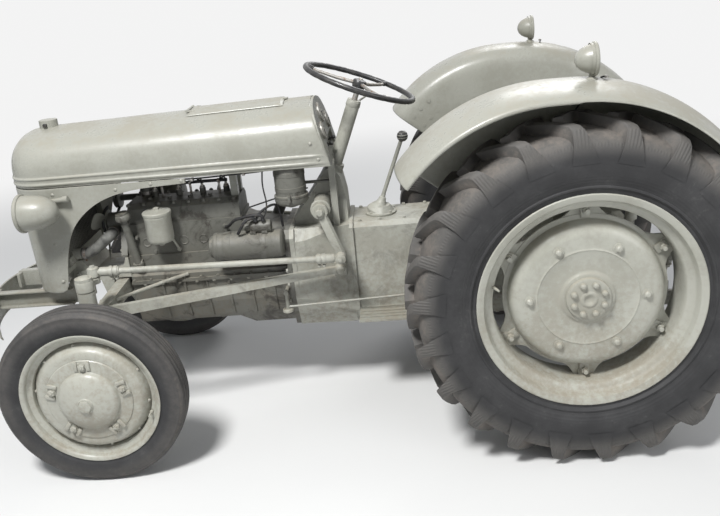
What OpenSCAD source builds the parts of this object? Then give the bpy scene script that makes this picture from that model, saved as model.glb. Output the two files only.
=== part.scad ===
// Vintage farm tractor with open engine, steered front axle and rear three-point hitch.
// Laid out from the rear axle line: +X forward, +Y left, +Z up, ground at z = 0.
// frame() then moves every piece so that the origin lies under the middle of the length.

/* [Stance] */
// Distance between the front and rear axle lines
wheelbase = 1778; // [1740:1:1860]
// Distance between the rear tyre centre planes
rear_track = 1222; // [1210:1:1300]
// Distance between the front tyre centre planes
front_track = 1240; // [1230:1:1320]
// Reach of the bumper ahead of the front axle line
bumper_reach = 572; // [560:1:640]

/* [Rear wheels] */
// Radius of a rear tyre at its lug tips
rear_r = 617; // [600:1:630]
// Width of a rear tyre over its sidewalls
rear_w = 275; // [250:1:290]
// Height of the rear lugs above the tread
lug_h = 34; // [20:1:45]
// Thickness of a rear lug at its crown
lug_w = 34; // [24:1:44]
// Lugs on each side of a rear tyre
lug_n = 22; // [18:1:26]
// Radius of the rear rim flange
rear_rim_r = 380; // [370:1:390]
// Width of the rear rim between its flanges
rear_rim_w = 230; // [200:1:240]
// Radius of the rear wheel disc
disc_r = 262; // [245:1:275]
// Radius of the rear brake drum
drum_r = 180; // [160:1:200]

/* [Front wheels] */
// Radius of a front tyre at its ribs
front_r = 345; // [330:1:355]
// Width of a front tyre over its sidewalls
front_w = 116; // [105:1:130]
// Radius of the front rim flange
front_rim_r = 257; // [250:1:265]
// Width of the front rim between its flanges
front_rim_w = 98; // [88:1:104]
// Radius of the domed front hub
hub_cap_r = 112; // [104:1:116]
// Radius of the stub axle in the front hub
stub_r = 18; // [14:1:22]

/* [Front axle] */
// Distance from the middle of a front wheel in to its kingpin
kingpin_offset = 120; // [105:1:130]
// Radius of a kingpin
kingpin_r = 17; // [14:1:20]
// Height of the underside of the front axle beam
axle_z = 535; // [520:1:545]
// Depth of the front axle beam
axle_h = 62; // [50:1:66]
// Thickness of a radius rod
radius_rod_w = 24; // [18:1:30]
// Sideways length of a steering arm from kingpin to ball
arm_len = 100; // [90:1:110]
// Radius of a drag link
drag_r = 12; // [9:1:15]

/* [Engine and gearbox] */
// Half width of the cylinder block
block_hw = 100; // [90:1:108]
// Height of the oil pan's top face
pan_top_z = 585; // [575:1:600]
// Height of the block's top face under the cylinder head
block_top_z = 822; // [810:1:835]
// Thickness of the cylinder head
head_h = 78; // [60:1:90]
// Half width of the gearbox case
case_hw = 122; // [115:1:132]
// Height of the gearbox case's top face
case_top_z = 765; // [755:1:775]
// Height of the gearbox case's underside
case_bot_z = 330; // [320:1:345]
// Radius of the starter motor
starter_r = 57; // [48:1:62]
// Radius of the oil filter canister
filter_r = 53; // [45:1:56]

/* [Hood] */
// Half width of the hood
hood_hw = 218; // [212:1:226]
// Height of the hood's lower edge
hood_z = 1028; // [1020:1:1036]
// Rise of the hood from its lower edge to its crown at the back
hood_rise = 236; // [225:1:245]
// Thickness of the hood and nose panels
skin = 3; // [2:0.5:5]
// Slope of the hood's crown toward the nose in degrees
hood_slope = 1.8; // [1:0.1:2.5]

/* [Fenders] */
// How much larger the fender's crown is than the tyre's radius
fender_clear = 31; // [25:1:45]
// Distance of the fender's inner wall from the tractor's middle
fender_y = 446; // [435:1:452]
// Width of the fender
fender_w = 306; // [290:1:330]
// Thickness of the fender sheet
fender_t = 3; // [2:0.5:5]

/* [Controls] */
// Radius of the steering wheel to the middle of its rim
wheel_r = 218; // [200:1:230]
// Radius of the steering wheel's grip
grip_r = 11; // [9:1:15]
// Slope of the steering column from the vertical in degrees
column_tilt = 22; // [20:1:24]
// Radius of the seat pan
seat_r = 222; // [200:1:235]

/* [Hitch] */
// Length of a lower link between its eyes
link_len = 815; // [790:1:840]
// Half of the distance between the lower link rear eyes
link_y = 359; // [340:1:365]
// Radius of the hole in a lower link's rear eye
eye_r = 11.2; // [10:0.1:12.5]
// Radius of the power take-off shaft
pto_r = 14.3; // [13:0.1:16]
// Radius of the hole in the drawbar
drawbar_hole_r = 13; // [10:0.5:16]

/* [Hidden] */
$fn = 48;
paint = [0.62, 0.62, 0.60];
rubber = [0.13, 0.13, 0.13];
black = [0.10, 0.10, 0.11];
steel = [0.50, 0.50, 0.52];

gap = 0.3;            // seat clearance between pieces that move past each other
pin_gap = 1;          // radial clearance of a pin in its bore

// places along the length, from the rear axle line
x_front = wheelbase;                 // front axle line
x_eng = wheelbase - 38;              // front face of the engine
x_bell = 1060;                       // face between engine and clutch housing
x_case = 823;                        // face between clutch housing and gearbox
plug_pitch = (x_eng - x_bell - 195) / 4.85; // distance between two spark plugs
x_diff = 300;                        // face between gearbox and rear axle housing
x_nose = wheelbase + 372;            // front of the nose
x_rad = wheelbase + 180;             // rear face of the radiator
x_hood = 931;                        // rear edge of the hood's crown
front_reach = wheelbase + bumper_reach;
link_x = 20;                         // front eyes of the lower links
link_z = 430;
link_end_r = 26;
link_dy = link_y - 215;
link_dx = sqrt(link_len * link_len - link_dy * link_dy);
rear_reach = link_dx - link_x + link_end_r;
x_mid = (front_reach - rear_reach) / 2;

// heights
x_case_lip = 12;
hood_top = hood_z + hood_rise;
nose_z = 590;
rail_z = pan_top_z;
axle_top = axle_z + axle_h;
sup_z = axle_top + 8;                // underside of the front axle support
sup_top = 690;                       // its top face, which carries the radiator

// steering
kp_y = front_track / 2 - kingpin_offset;
arm_z = 738;                         // height of the steering arms
sleeve_z0 = axle_z + 10;
sleeve_z1 = 700;
pit_x = 921;
pit_z = 856;
pit_y = 204;                         // inner face of a pitman arm's boss
ball_x = 854;                        // ball at the lower end of a pitman arm
ball_z = 680;
link_ball_y = 275;
knuckle_ball = [x_front, kp_y - arm_len, arm_z];
col_dir = [-sin(column_tilt), 0, cos(column_tilt)];
col_base = [909, 0, 870];
col_len = 464;
wheel_c = col_base + col_dir * col_len;

module frame() translate([-x_mid, 0, 0]) children();
module pair() { children(); mirror([0, 1, 0]) children(); }
module side(s) { if (s > 0) children(); else mirror([0, 1, 0]) children(); }

// round bar from a to b
module rod(a, b, r, r2 = -1) {
    v = b - a;
    l = norm(v);
    translate(a) rotate([0, acos(v.z / l), atan2(v.y, v.x)])
        cylinder(h = l, r1 = r, r2 = r2 < 0 ? r : r2);
}
// round bar through the points p, with a slightly larger ball at each bend
module pipe(p, r) {
    for (i = [0:len(p) - 2]) rod(p[i], p[i + 1], r);
    for (i = [1:1:len(p) - 2]) translate(p[i]) sphere(r + 1);
}
// flat bar from a to b, w wide across its width direction and t thick
module strap(a, b, w, t) {
    v = b - a;
    l = norm(v);
    translate(a) rotate([0, acos(v.z / l), atan2(v.y, v.x)])
        translate([-w / 2, -t / 2, 0]) cube([w, t, l]);
}
// profile in x and z, pushed from y0 to y1
module slab_y(y0, y1, pts) translate([0, y1, 0]) rotate([90, 0, 0])
    linear_extrude(y1 - y0) polygon(pts);
// profile in y and z, pushed from x0 to x1
module slab_x(x0, x1, pts) translate([x0, 0, 0]) rotate([90, 0, 90])
    linear_extrude(x1 - x0) polygon(pts);
module bar_y(x, y0, y1, z, r) translate([x, y0, z]) rotate([-90, 0, 0]) cylinder(h = y1 - y0, r = r);
module bar_x(x0, x1, y, z, r) translate([x0, y, z]) rotate([0, 90, 0]) cylinder(h = x1 - x0, r = r);
module bar_z(x, y, z0, z1, r) translate([x, y, z0]) cylinder(h = z1 - z0, r = r);
// profile of [radius, y] turned about a line along Y
module turn_y(x, z, pts) translate([x, 0, z]) rotate([-90, 0, 0]) rotate_extrude() polygon(pts);
// profile of [radius, x] turned about a line along X
module turn_x(y, z, pts) translate([0, y, z]) rotate([0, 90, 0]) rotate_extrude() polygon(pts);
function both(p) = concat(p, [for (i = [len(p) - 1:-1:0]) [-p[i].x, p[i].y]]);

// engine
module engine_block() color(paint) {
    xc = x_bell + 195;
    difference() {
        union() {
            slab_x(x_bell + 10, x_eng, both([[0, 690], [block_hw + 8, 690], [block_hw + 8, 612],
                [block_hw + 20, 604], [block_hw + 20, pan_top_z], [0, pan_top_z]]));
            slab_y(-block_hw, block_hw, [[x_bell + 10, 680], [x_eng, 680], [x_eng, block_top_z],
                [xc, block_top_z], [xc, 800], [xc - 60, 772], [x_bell + 10, 752]]);
            slab_x(x_bell, x_bell + 20, both([[0, 768], [150, 768], [178, 738], [178, pan_top_z], [0,
                pan_top_z]]));
        }
    }
    // cylinder head with its rounded top edges and plug bosses
    slab_x(xc + 4, x_eng - 22, both([[0, block_top_z + head_h], [62, block_top_z + head_h],
        [84, block_top_z + head_h - 20], [block_hw - 8, block_top_z + 6], [block_hw - 8, block_top_z - 6],
            [0, block_top_z - 6]]));
    for (i = [0:3]) bar_z(xc + plug_pitch * (i + 0.7), -30, block_top_z + head_h - 5,
        block_top_z + head_h + 22, 13);
    // timing cover and water pump
    slab_x(x_eng, x_eng + 26, both([[0, 800], [60, 800], [116, 700], [116, sup_top + 4], [0, sup_top + 4]]));
    bar_x(x_eng + 20, x_eng + 88, 0, 810, 42);
    bar_y(x_eng + 54, 20, 66, 790, 20);
    // oil filler tube and breather cap
    tube_foot = [x_eng - 41, block_hw + 20, 655];
    tube_rise = [19, 24, 207];
    rod(tube_foot, tube_foot + tube_rise, 14.5);
    rod(tube_foot + tube_rise * 0.97, tube_foot + tube_rise * 1.13, 25);
    bar_x(x_eng - 60, x_eng - 24, block_hw + 12, 655, 22);
}

module oil_pan() color(paint) {
    intersection() {
        slab_x(x_bell, x_eng, both([[0, pan_top_z], [118, pan_top_z], [114, 470], [92, 400], [60, 342],
            [0, 342]]));
        slab_y(-140, 140, [[x_bell, 342], [x_bell + 200, 342], [x_bell + 260, 383], [x_eng, 383],
            [x_eng, pan_top_z], [x_bell, pan_top_z]]);
    }
    translate([x_bell, -131, pan_top_z - 14]) cube([x_eng - x_bell, 262, 14]);
    // stiffening ribs down the sides
    pair() for (x = [x_bell + 90:92:x_eng - 80]) slab_x(x, x + 9, [[100, pan_top_z - 8], [125,
        pan_top_z - 12],
        [120, 468], [100, 402], [84, 402], [90, 470]]);
    slab_x(x_bell, x_bell + 20, both([[0, 585], [178, 585], [172, 480], [110, 342], [0, 342]]));
}

module transmission_case() color(paint) {
    // clutch housing narrows from the engine's flange to the gearbox
    intersection() {
        slab_y(-180, 180, [[x_case, case_bot_z + 4], [x_bell, 340], [x_bell, case_top_z], [x_case,
            case_top_z]]);
        linear_extrude(1000) polygon([[x_case, -case_hw - 6], [x_bell - 60, -172], [x_bell, -176],
            [x_bell, 176], [x_bell - 60, 172], [x_case, case_hw + 6]]);
        slab_x(x_case, x_bell, both([[0, 770], [130, 770], [176, 720], [176, 480], [110, 335], [0, 325]]));
    }
    slab_x(x_bell - 18, x_bell, both([[0, 768], [150, 768], [178, 738], [178, 480], [112, 338], [0, 338]]));
    // gearbox with its raised joint faces
    slab_x(x_diff, x_case, both([[0, case_top_z], [case_hw - 18, case_top_z], [case_hw, case_top_z - 18],
        [case_hw, case_bot_z + 70], [case_hw - 42, case_bot_z], [0, case_bot_z]]));
    for (x = [x_diff, x_case - 16])
        slab_x(x, x + 16, both([[0, case_top_z + 8], [case_hw - 10, case_top_z + 8],
            [case_hw + x_case_lip, case_top_z - 14], [case_hw + x_case_lip, case_bot_z + 60],
            [case_hw - 36, case_bot_z - 6], [0, case_bot_z - 6]]));
    // gear lever dome
    translate([694, 0, case_top_z]) cylinder(h = 34, r1 = 62, r2 = 40);
    // sockets for the radius rods' rear balls
    pair() {
        translate([845, 126, 560]) cube([50, 30, 84]);
        bar_y(870, 150, 190 - 22 - gap, 602, 26);
    }
}

// rear axle
module axle_housing() color(paint) {
    slab_x(-205, x_diff, both([[0, 790], [120, 790], [156, 740], [156, 430], [110, 348], [76, 335], [0,
        335]]));
    pair() {
        translate([0, 150, rear_r]) rotate([-90, 0, 0]) cylinder(h = 285, r1 = 118, r2 = 74);
        bar_y(0, 150, 174, rear_r, 150);
        bar_y(0, 425, 440, rear_r, 100);
        // brake backing plate
        bar_y(0, 438, 446, rear_r, drum_r + 8);
        // bracket that holds the lower link's front pin
        translate([link_x - 40, 168, link_z - 26]) cube([80, 16, 90]);
        translate([link_x - 34, 168, link_z + 56]) cube([74, 60, 94]);
        bar_y(link_x, 150, 240, link_z, 11);
    }
    // shaft end and cap of the power take-off
    bar_x(-250, -200, 0, 520, 46);
    bar_x(-335, -240, 0, 520, pto_r);
}

module lift_cover() color(paint) {
    difference() {
        union() {
            slab_x(-190, 270, both([[0, 838], [92, 838], [128, 812], [128, 790], [0, 790]]));
            bar_y(-150, -190, 190, 815, 42);
            // rocker that takes the top link at the back
            slab_y(-34, 34, [[-226, 640], [-205, 640], [-205, 790], [-150, 790], [-150, 832], [-226, 832]]);
            pair() slab_y(18, 34, [[-286, 650], [-258, 628], [-215, 640], [-215, 780], [-268, 712],
                [-286, 690]]);
        }
        bar_y(-258, -50, 50, 670, 9.6);
        // the cover sits on the housing, and the shaft's boss is open below
        translate([-205, -200, 700]) cube([140, 400, 90]);
        translate([-168, -200, 700]) cube([36, 400, 110]);
        bar_y(-150, -200, 200, 815, 24 + pin_gap);
    }
    // seat bracket
    translate([40, -45, 838]) cube([90, 90, 22]);
    // quadrant of the hitch control
    slab_y(-136, -128, [[20, 800], [140, 800], [150, 860], [120, 905], [60, 905], [20, 870]]);
}

// hood: side profile, plan and cross section cut one solid, and the same ones set in by the skin hollow it
function hood_plan(t) = [[0, -hood_hw + t], [x_nose - 190, -hood_hw + t], [x_nose - 110, -hood_hw + 18 + t],
    [x_nose - 48, -hood_hw + 62 + t], [x_nose - 12 - t, -hood_hw + 128 + t / 2], [x_nose - t, -50],
    [x_nose - t, 50], [x_nose - 12 - t, hood_hw - 128 - t / 2], [x_nose - 48, hood_hw - 62 - t],
    [x_nose - 110, hood_hw - 18 - t], [x_nose - 190, hood_hw - t], [0, hood_hw - t]];
function hood_section(t) = both([[0, hood_rise - t], [70, hood_rise - 6 - t], [130, hood_rise - 20 - t],
    [170 - t * 0.7, hood_rise - 42 - t * 0.7], [200 - t, hood_rise - 76 - t * 0.5],
    [hood_hw - 4 - t, hood_rise - 120], [hood_hw + 2 - t, 60], [hood_hw - t, -60]]);
module hood_solid(t) intersection() {
    slab_y(-300, 300, [[x_hood - 71 - t, hood_z - t], [x_hood - t, hood_top + 40], [x_nose - 130,
        hood_top + 40],
        [x_nose - 60, hood_top - 48 - t], [x_nose - 24 - t, hood_top - 84], [x_nose - 6 - t, hood_top - 128],
        [x_nose - t, hood_top - 180], [x_nose - t, hood_z - t]]);
    translate([x_hood, 0, hood_z]) rotate([0, hood_slope, 0]) slab_x(-120, 1500, hood_section(t));
    linear_extrude(2000) polygon(hood_plan(t));
}
door_x0 = 1034;
door_x1 = 1416;
door_hw = 92;
cap_x = x_rad + 40;
module hood() color(paint) difference() {
    union() {
        hood_solid(0);
        // pressed beads along the lower edge
        pair() for (z = [16, 46]) translate([x_hood - 20, 0, hood_z + z]) intersection() {
            translate([0, hood_hw - 6, 0]) rotate([0, 90, 0]) cylinder(h = x_nose - 180 - x_hood, r = 9);
            translate([0, 0, -20]) cube([2000, 500, 40]);
        }
    }
    hood_solid(skin);
    translate([door_x0 + 8, -door_hw + 8, hood_top - 80]) cube([door_x1 - door_x0 - 16, 2 * door_hw - 16,
        120]);
    bar_z(cap_x, 0, hood_z + 100, hood_top + 50, 46);
}
// lid over the fuel filler, hinged at its front edge
module hood_door() color(paint) translate([x_hood, 0, hood_z]) rotate([0, hood_slope, 0]) {
    x0 = door_x0 - x_hood;
    x1 = door_x1 - x_hood;
    e = (door_hw - 70) * 14 / 60;
    slab_x(x0, x1, both([[0, hood_rise + gap + skin], [70, hood_rise - 6 + gap + skin],
        [door_hw, hood_rise - 6 - e + gap + skin], [door_hw, hood_rise - 6 - e + gap],
        [70, hood_rise - 6 + gap], [0, hood_rise + gap]]));
    bar_y(x1 - 2, -60, 60, hood_rise + 6, 5);
    translate([x0 - 10, -14, hood_rise + gap]) cube([20, 28, 5]);
}

// nose: the grille's surround and the two side panels, open behind and below
module nose_solid(t) intersection() {
    linear_extrude(2000) polygon(hood_plan(t));
    slab_y(-300, 300, [[x_front - 380, hood_z], [x_front - 360, 1006], [x_front - 170, 1000],
        [x_front - 96, 988], [x_front - 10, 961], [x_front + 60, 918], [x_front + 114, 864],
        [x_front + 148, 797], [x_front + 175, 698], [x_front + 192, nose_z],
        [x_nose - 14 - t, nose_z - t], [x_nose - t, hood_z]]);
}
grille_hw = 128;
grille_z0 = nose_z + 46;
grille_z1 = hood_z - 34;
module nose_shell() color(paint) difference() {
    nose_solid(0);
    translate([0, 0, -1]) nose_solid(skin);
    translate([0, 0, 1]) nose_solid(skin);
    translate([0, -hood_hw + skin, nose_z - 10]) cube([x_nose - 205, 2 * (hood_hw - skin), 600]);
    translate([x_nose - 120, -grille_hw, grille_z0]) cube([200, 2 * grille_hw, grille_z1 - grille_z0]);
}
lean = 14 / (hood_z - nose_z);
function gx(y, z) = x_nose - 9 - (abs(y) > 50 ? (abs(y) - 50) * 0.30 : 0) - (hood_z - z) * lean;
module grille() color(paint) {
    for (i = [-9:9]) {
        y = i * 12.8;
        w = i == 0 ? 11 : 3;
        slab_y(y - w, y + w, [[gx(y, grille_z0) - 14, grille_z0 - 10], [gx(y, grille_z0), grille_z0 - 10],
            [gx(y, grille_z1), grille_z1 + 10], [gx(y, grille_z1) - 14, grille_z1 + 10]]);
    }
    for (z = [grille_z0 - 12, (grille_z0 + grille_z1) / 2 - 5, grille_z1 + 2])
        translate([0, 0, z]) linear_extrude(10) polygon([[gx(130, z) - 12, -130], [gx(50, z) - 12, -50],
            [gx(50, z) - 12, 50], [gx(130, z) - 12, 130],
            [gx(130, z) - 6, 130], [gx(50, z) - 6, 50], [gx(50, z) - 6, -50], [gx(130, z) - 6, -130]]);
}

// cooling
module radiator() color(paint) {
    translate([x_rad, -190, sup_top + 34]) cube([66, 380, 300]);
    translate([x_rad - 6, -192, sup_top]) cube([82, 384, 36]);
    slab_x(x_rad - 8, x_rad + 72, both([[0, 1132], [150, 1122], [192, 1090], [192, 1022], [0, 1022]]));
    // filler neck and cap, which stands up through the hood
    bar_z(cap_x, 0, 1128, hood_top - 36, 24);
    bar_z(cap_x, 0, hood_top - 40, hood_top - 6, 36);
    // outlets
    bar_x(x_rad - 34, x_rad, -96, 1080, 22);
    bar_x(x_rad - 34, x_rad, 120, sup_top + 32, 22);
}
module fan() color(paint) {
    x = x_eng + 88 + gap;
    bar_x(x, x + 22, 0, 810, 55);
    for (a = [0:90:270]) translate([x + 11, 0, 810]) rotate([a + 20, 0, 0]) rotate([0, 0, 24])
        translate([-1.5, -34, 40]) cube([3, 68, 130]);
}
module hoses() color(black) {
    r = 24;
    // upper hose from the head to the radiator
    pipe([[x_eng - 70, -60, block_top_z + head_h + gap], [x_eng - 70, -60, 985], [x_rad - 86, -96, 1080],
        [x_rad - 34 - gap, -96, 1080]], r);
    // lower hose from the radiator round to the water pump
    pipe([[x_rad - 34 - gap, 120, sup_top + 32], [x_rad - 70, 120, sup_top + 32], [x_eng + 54, 120, 790],
        [x_eng + 54, 66 + gap, 790]], r - 1);
}

// fuel and air
module fuel_tank() color(paint) {
    slab_x(1000, 1440, both([[0, 1192], [110, 1184], [160, 1150], [172, 1110], [160, 1058], [120, 1042],
        [0, 1042]]));
    bar_z(1120, 0, 1190, hood_top - 22, 36);
    for (y = [-40, 40]) translate([1262, y - 14, block_top_z + head_h])
        cube([28, 28, 1044 - block_top_z - head_h]);
}
module air_cleaner() color(paint) {
    bar_z(1034, 146, 905, 1036, 60);
    bar_z(1034, 146, 872, 912, 66);
    bar_z(1034, 146, 862, 874, 20);
    // strap to the dash leg
    translate([882 + gap, 100, 940]) cube([120, 22, 12]);
    // pipe to the carburettor on the other side of the engine
    pipe([[1034, 100, 985], [1034, -150, 985], [1170, -188, 700], [manifold_x0 + 60, -188, 668],
        [manifold_x0 + 106 - gap, -188, 668]], 24);
}
manifold_x0 = x_eng - 450;
module manifold() color([0.45, 0.42, 0.40]) {
    x0 = manifold_x0;
    for (i = [0:3]) bar_y(x0 + 20 + i * 120, -150, -block_hw, 770, 24);
    bar_z(x0 + 340, -150, 735, 770, 25);
    bar_x(x0, x0 + 400, -150, 770, 30);
    bar_x(x0 + 60, x0 + 300, -150, 720, 22);
    // carburettor hung under the inlet branch
    bar_z(x0 + 190, -162, 655, 722, 24);
    translate([x0 + 150, -200, 640]) cube([80, 70, 52]);
    bar_z(x0 + 190, -170, 610, 645, 28);
    bar_x(x0 + 106, x0 + 152, -188, 668, 24);
}
module exhaust() color([0.40, 0.36, 0.33]) {
    r = 21;
    pipe([[manifold_x0 + 340, -150, 735 - gap], [manifold_x0 + 340, -150, 700], [x_eng - 110, -204, 560],
        [x_eng - 220, -206, 372], [740, -206, 322]], r);
    bar_x(340, 745, -206, 322, 50);
    pipe([[345, -206, 322], [230, -206, 322], [150, -206, 292]], r);
    // hanger under the gearbox
    translate([480, -206, 364]) cube([30, 206 - case_hw, 8]);
    translate([480, -case_hw - 8, 364]) cube([30, 8, 66]);
}

// bulkhead between the engine bay and the driver, with its gauges
module dash_panel() color(paint) {
    difference() {
        intersection() {
            slab_y(-hood_hw + skin + gap, hood_hw - skin - gap, [[x_hood - 71, hood_z], [x_hood - 40, hood_z],
                [x_hood + 31, hood_top + 40], [x_hood, hood_top + 40]]);
            translate([x_hood, 0, hood_z]) rotate([0, hood_slope, 0]) slab_x(-120, 200,
                hood_section(skin + gap));
        }
        translate([780, -140, hood_z + 20]) cube([110, 280, 60]);
        rod(col_base, wheel_c, 27 + 2);
    }
    // gauges face the seat
    for (p = [[-118, 118, 34], [0, 168, 40], [118, 118, 34]])
        translate([x_hood - 71 + p[1] * 71 / hood_rise, p[0], hood_z + p[1]])
            rotate([0, -74, 0]) translate([0, 0, -8]) cylinder(h = 22, r = p[2]);
    // legs down to the clutch housing
    pair() translate([856, 96, case_top_z]) cube([26, 30, hood_z - case_top_z + 2]);
}
module steering_box() color(paint) {
    slab_y(-78, 78, [[1041, case_top_z], [1041, 792], [986, 862], [936, 930], [900, 985], [866, 985],
        [842, 950], [826, 862], [824, 802], [824, case_top_z]]);
    pair() difference() {
        bar_y(pit_x, 70, pit_y - 1, pit_z, 34);
        bar_y(pit_x, pit_y - 10, pit_y + 4, pit_z, 17 + pin_gap);
    }
    // column tube, open at its top for the shaft
    difference() {
        rod(col_base - col_dir * 20, wheel_c - col_dir * 70, 27);
        rod(wheel_c - col_dir * 330, wheel_c - col_dir * 60, 12);
    }
    rod(col_base + col_dir * 60, col_base + col_dir * 130, 36);
    // throttle lever under the wheel
    throttle = [-70, -150, 20];
    rod(wheel_c - col_dir * 92 + throttle * 0.1, wheel_c - col_dir * 92 + throttle, 4);
    translate(wheel_c - col_dir * 92 + throttle) sphere(9);
}
module steering_wheel() color(black) {
    translate(wheel_c) rotate([0, -column_tilt, 0]) {
        rotate_extrude() translate([wheel_r, 0]) circle(grip_r);
        for (a = [0:120:240]) rotate([0, 0, a]) rotate([0, 90, 0]) cylinder(h = wheel_r, r = 7);
        translate([0, 0, -28]) cylinder(h = 40, r = 27);
        translate([0, 0, -320]) cylinder(h = 300, r = 12 - pin_gap);
    }
}
module levers() color(paint) {
    rod([694, 0, case_top_z + 37.3], [584, 0, 1076], 8);
    translate([584, 0, 1076]) rotate([90, 0, 0]) sphere(22);
    rod([90, -142 - gap, 860], [190, -142 - gap, 985], 6);
    translate([190, -142 - gap, 985]) sphere(15);
    // clutch linkage rod along the left side
    bar_y(1098, 116, 190, 510, 9);
    bar_z(1098, 182, 436, 524, 7);
    rod([1098, 182, 450], [560, 182, 470], 5);
}

// left side of the engine
module oil_filter() color(paint) {
    x = x_eng - 167;
    y = block_hw + 66;
    bar_z(x, y, 762, 880, filter_r);
    bar_z(x, y, 876, 892, filter_r + 4);
    bar_z(x, y, 888, 904, 9);
    translate([x - 22, block_hw, 780]) cube([44, 32, 40]);
}
module starter() color(paint) {
    y = block_hw + 20 + starter_r;
    bar_x(x_bell + 20, x_bell + 300, y, 727, starter_r);
    bar_x(x_bell + 300, x_bell + 318, y, 727, starter_r - 12);
    bar_x(x_bell + 60, x_bell + 170, y + 10, 727 + starter_r + 18, 24);
    translate([x_bell + 70, block_hw, 700]) cube([60, 36, 50]);
}
module generator() color(paint) {
    y = -block_hw - 74;
    bar_x(x_eng - 200, x_eng - 8, y, 868, 54);
    bar_x(x_eng - 8, x_eng + 90, y, 868, 14);
    bar_x(x_eng + 90, x_eng + 110, y, 868, 42);
    translate([x_eng - 180, y, 801]) cube([150, 74, 20]);
}
module cables() color(black) {
    for (i = [0:3]) {
        x = x_bell + 195 + plug_pitch * (i + 0.7);
        rod([x, -30, block_top_z + head_h + 24], [x, -12, block_top_z + head_h + 52], 4);
        bar_z(x, -30, block_top_z + head_h + 22, block_top_z + head_h + 27, 6);
    }
    bar_x(x_bell + 195 + plug_pitch * 0.6, x_eng - 106, -12, block_top_z + head_h + 52, 7);
}

// front end
// half width between the nose panels at a place along the hood
function plan_in(x) = hood_hw - 18 * (x - x_nose + 190) / 80 - skin - 0.3;
module axle_support() color(paint) {
    slab_y(-118, 118, [[x_eng, sup_z], [x_front + 36, sup_z], [x_front + 44, axle_z + 6], [x_front + 78,
        axle_z + 6],
        [x_front + 92, 600], [x_front + 300, 640], [x_front + 300, sup_top], [x_rad - 24, sup_top],
        [x_rad - 60, 634], [x_eng + 30, 634], [x_eng + 12, sup_top], [x_eng, sup_top]]);
    // face plate that bolts to the engine, and boss of the axle pin
    slab_x(x_eng, x_eng + 12, both([[0, sup_top], [118, sup_top], [118, sup_z], [40, sup_z], [40,
        axle_z - 10],
        [0, axle_z - 10]]));
    bar_x(x_eng, x_front + 84, 0, axle_z + 30, 17);
    // cross plate that carries the nose
    translate([0, 0, sup_top - 24]) linear_extrude(24) polygon([[x_rad + 4, -plan_in(x_rad + 4)],
        [x_rad + 14, -plan_in(x_rad + 14)], [x_rad + 14, plan_in(x_rad + 14)], [x_rad + 4,
            plan_in(x_rad + 4)]]);
}
beam_x0 = x_front - 24;
rr_x = 870;                          // rear ball of a radius rod
rr_y = 190;
rr_z = 602;
rr_len = norm([x_front - 20 - rr_x, kp_y - 112 - rr_y]);
module front_axle() color(paint) {
    difference() {
        union() {
            slab_x(beam_x0, beam_x0 + 48, both([[0, axle_top], [150, axle_top], [kp_y - 110, axle_top - 4],
                [kp_y, axle_top - 4], [kp_y, axle_z + 8], [kp_y - 110, axle_z + 8], [150, axle_z], [0,
                    axle_z]]));
            pair() {
                bar_z(x_front, kp_y, sleeve_z0, sleeve_z1, kingpin_r + 15);
                translate([beam_x0, kp_y - 30, axle_z + 8]) cube([48, 30, 90]);
                // clamp bolts where the end slides in the middle beam
                for (y = [kp_y - 150, kp_y - 220]) bar_x(beam_x0 - 12, beam_x0 + 60, y,
                    axle_z + axle_h / 2, 13);
            }
        }
        bar_x(beam_x0 - 20, beam_x0 + 80, 0, axle_z + 30, 17 + pin_gap);
        pair() bar_z(x_front, kp_y, sleeve_z0 - 5, sleeve_z1 + 5, kingpin_r + pin_gap);
    }
    // radius rods back to the clutch housing
    pair() {
        translate([rr_x, rr_y, 0]) rotate([0, 0, atan2(kp_y - 112 - rr_y, x_front - 20 - rr_x)])
            slab_y(-radius_rod_w / 2, radius_rod_w / 2, [[6, rr_z - 13], [rr_len, axle_z + 10],
                [rr_len, axle_top - 8], [6, rr_z + 13]]);
        translate([rr_x, rr_y, rr_z]) rotate([90, 0, 0]) sphere(22);
    }
}
module knuckle(s) color(paint) side(s) {
    z0 = front_r;
    bar_z(x_front, kp_y, z0 - 12, arm_z + 16, kingpin_r);
    bar_z(x_front, kp_y, z0 - 26, sleeve_z0 - 2, kingpin_r + 11);
    bar_y(x_front, kp_y - 4, front_track / 2 - front_rim_w / 2 - 4, z0, 34);
    bar_y(x_front, kp_y, front_track / 2 + 24, z0, stub_r);
    // steering arm clamped to the top of the kingpin
    bar_z(x_front, kp_y, sleeve_z1 + 2, arm_z + 16, kingpin_r + 14);
    strap([x_front, kp_y, arm_z - 8], [knuckle_ball.x, knuckle_ball.y, arm_z - 36], 14, 32);
    bar_z(knuckle_ball.x, knuckle_ball.y, arm_z - 44, arm_z - 22 - gap, 20);
}
module pitman(s) color(paint) side(s) {
    bar_y(pit_x, pit_y, pit_y + 26, pit_z, 30);
    bar_y(pit_x, pit_y - 8, pit_y + 34, pit_z, 17);
    strap([pit_x, pit_y + 13, pit_z], [ball_x, link_ball_y - 30, ball_z], 34, 18);
    bar_y(ball_x, link_ball_y - 42, link_ball_y - 12, ball_z, 17);
    translate([ball_x, link_ball_y, ball_z]) sphere(11);
    bar_y(ball_x, link_ball_y - 14, link_ball_y, ball_z, 8);
}
module drag_link(s) color(paint) side(s) {
    b = [ball_x, link_ball_y, ball_z];
    k = knuckle_ball;
    difference() {
        union() {
            rod(b, k, drag_r);
            bar_y(ball_x, link_ball_y - 10, link_ball_y + 22, ball_z, 20);
            // front socket, which rests on the boss of the steering arm
            bar_z(k.x, k.y, k.z - 16, k.z + 16, 21);
            bar_z(k.x, k.y, k.z - 22, k.z - 16, 13);
        }
        translate(b) sphere(11 + gap);
        bar_y(ball_x, link_ball_y - 20, link_ball_y, ball_z, 11 + gap);
    }
}
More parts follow.
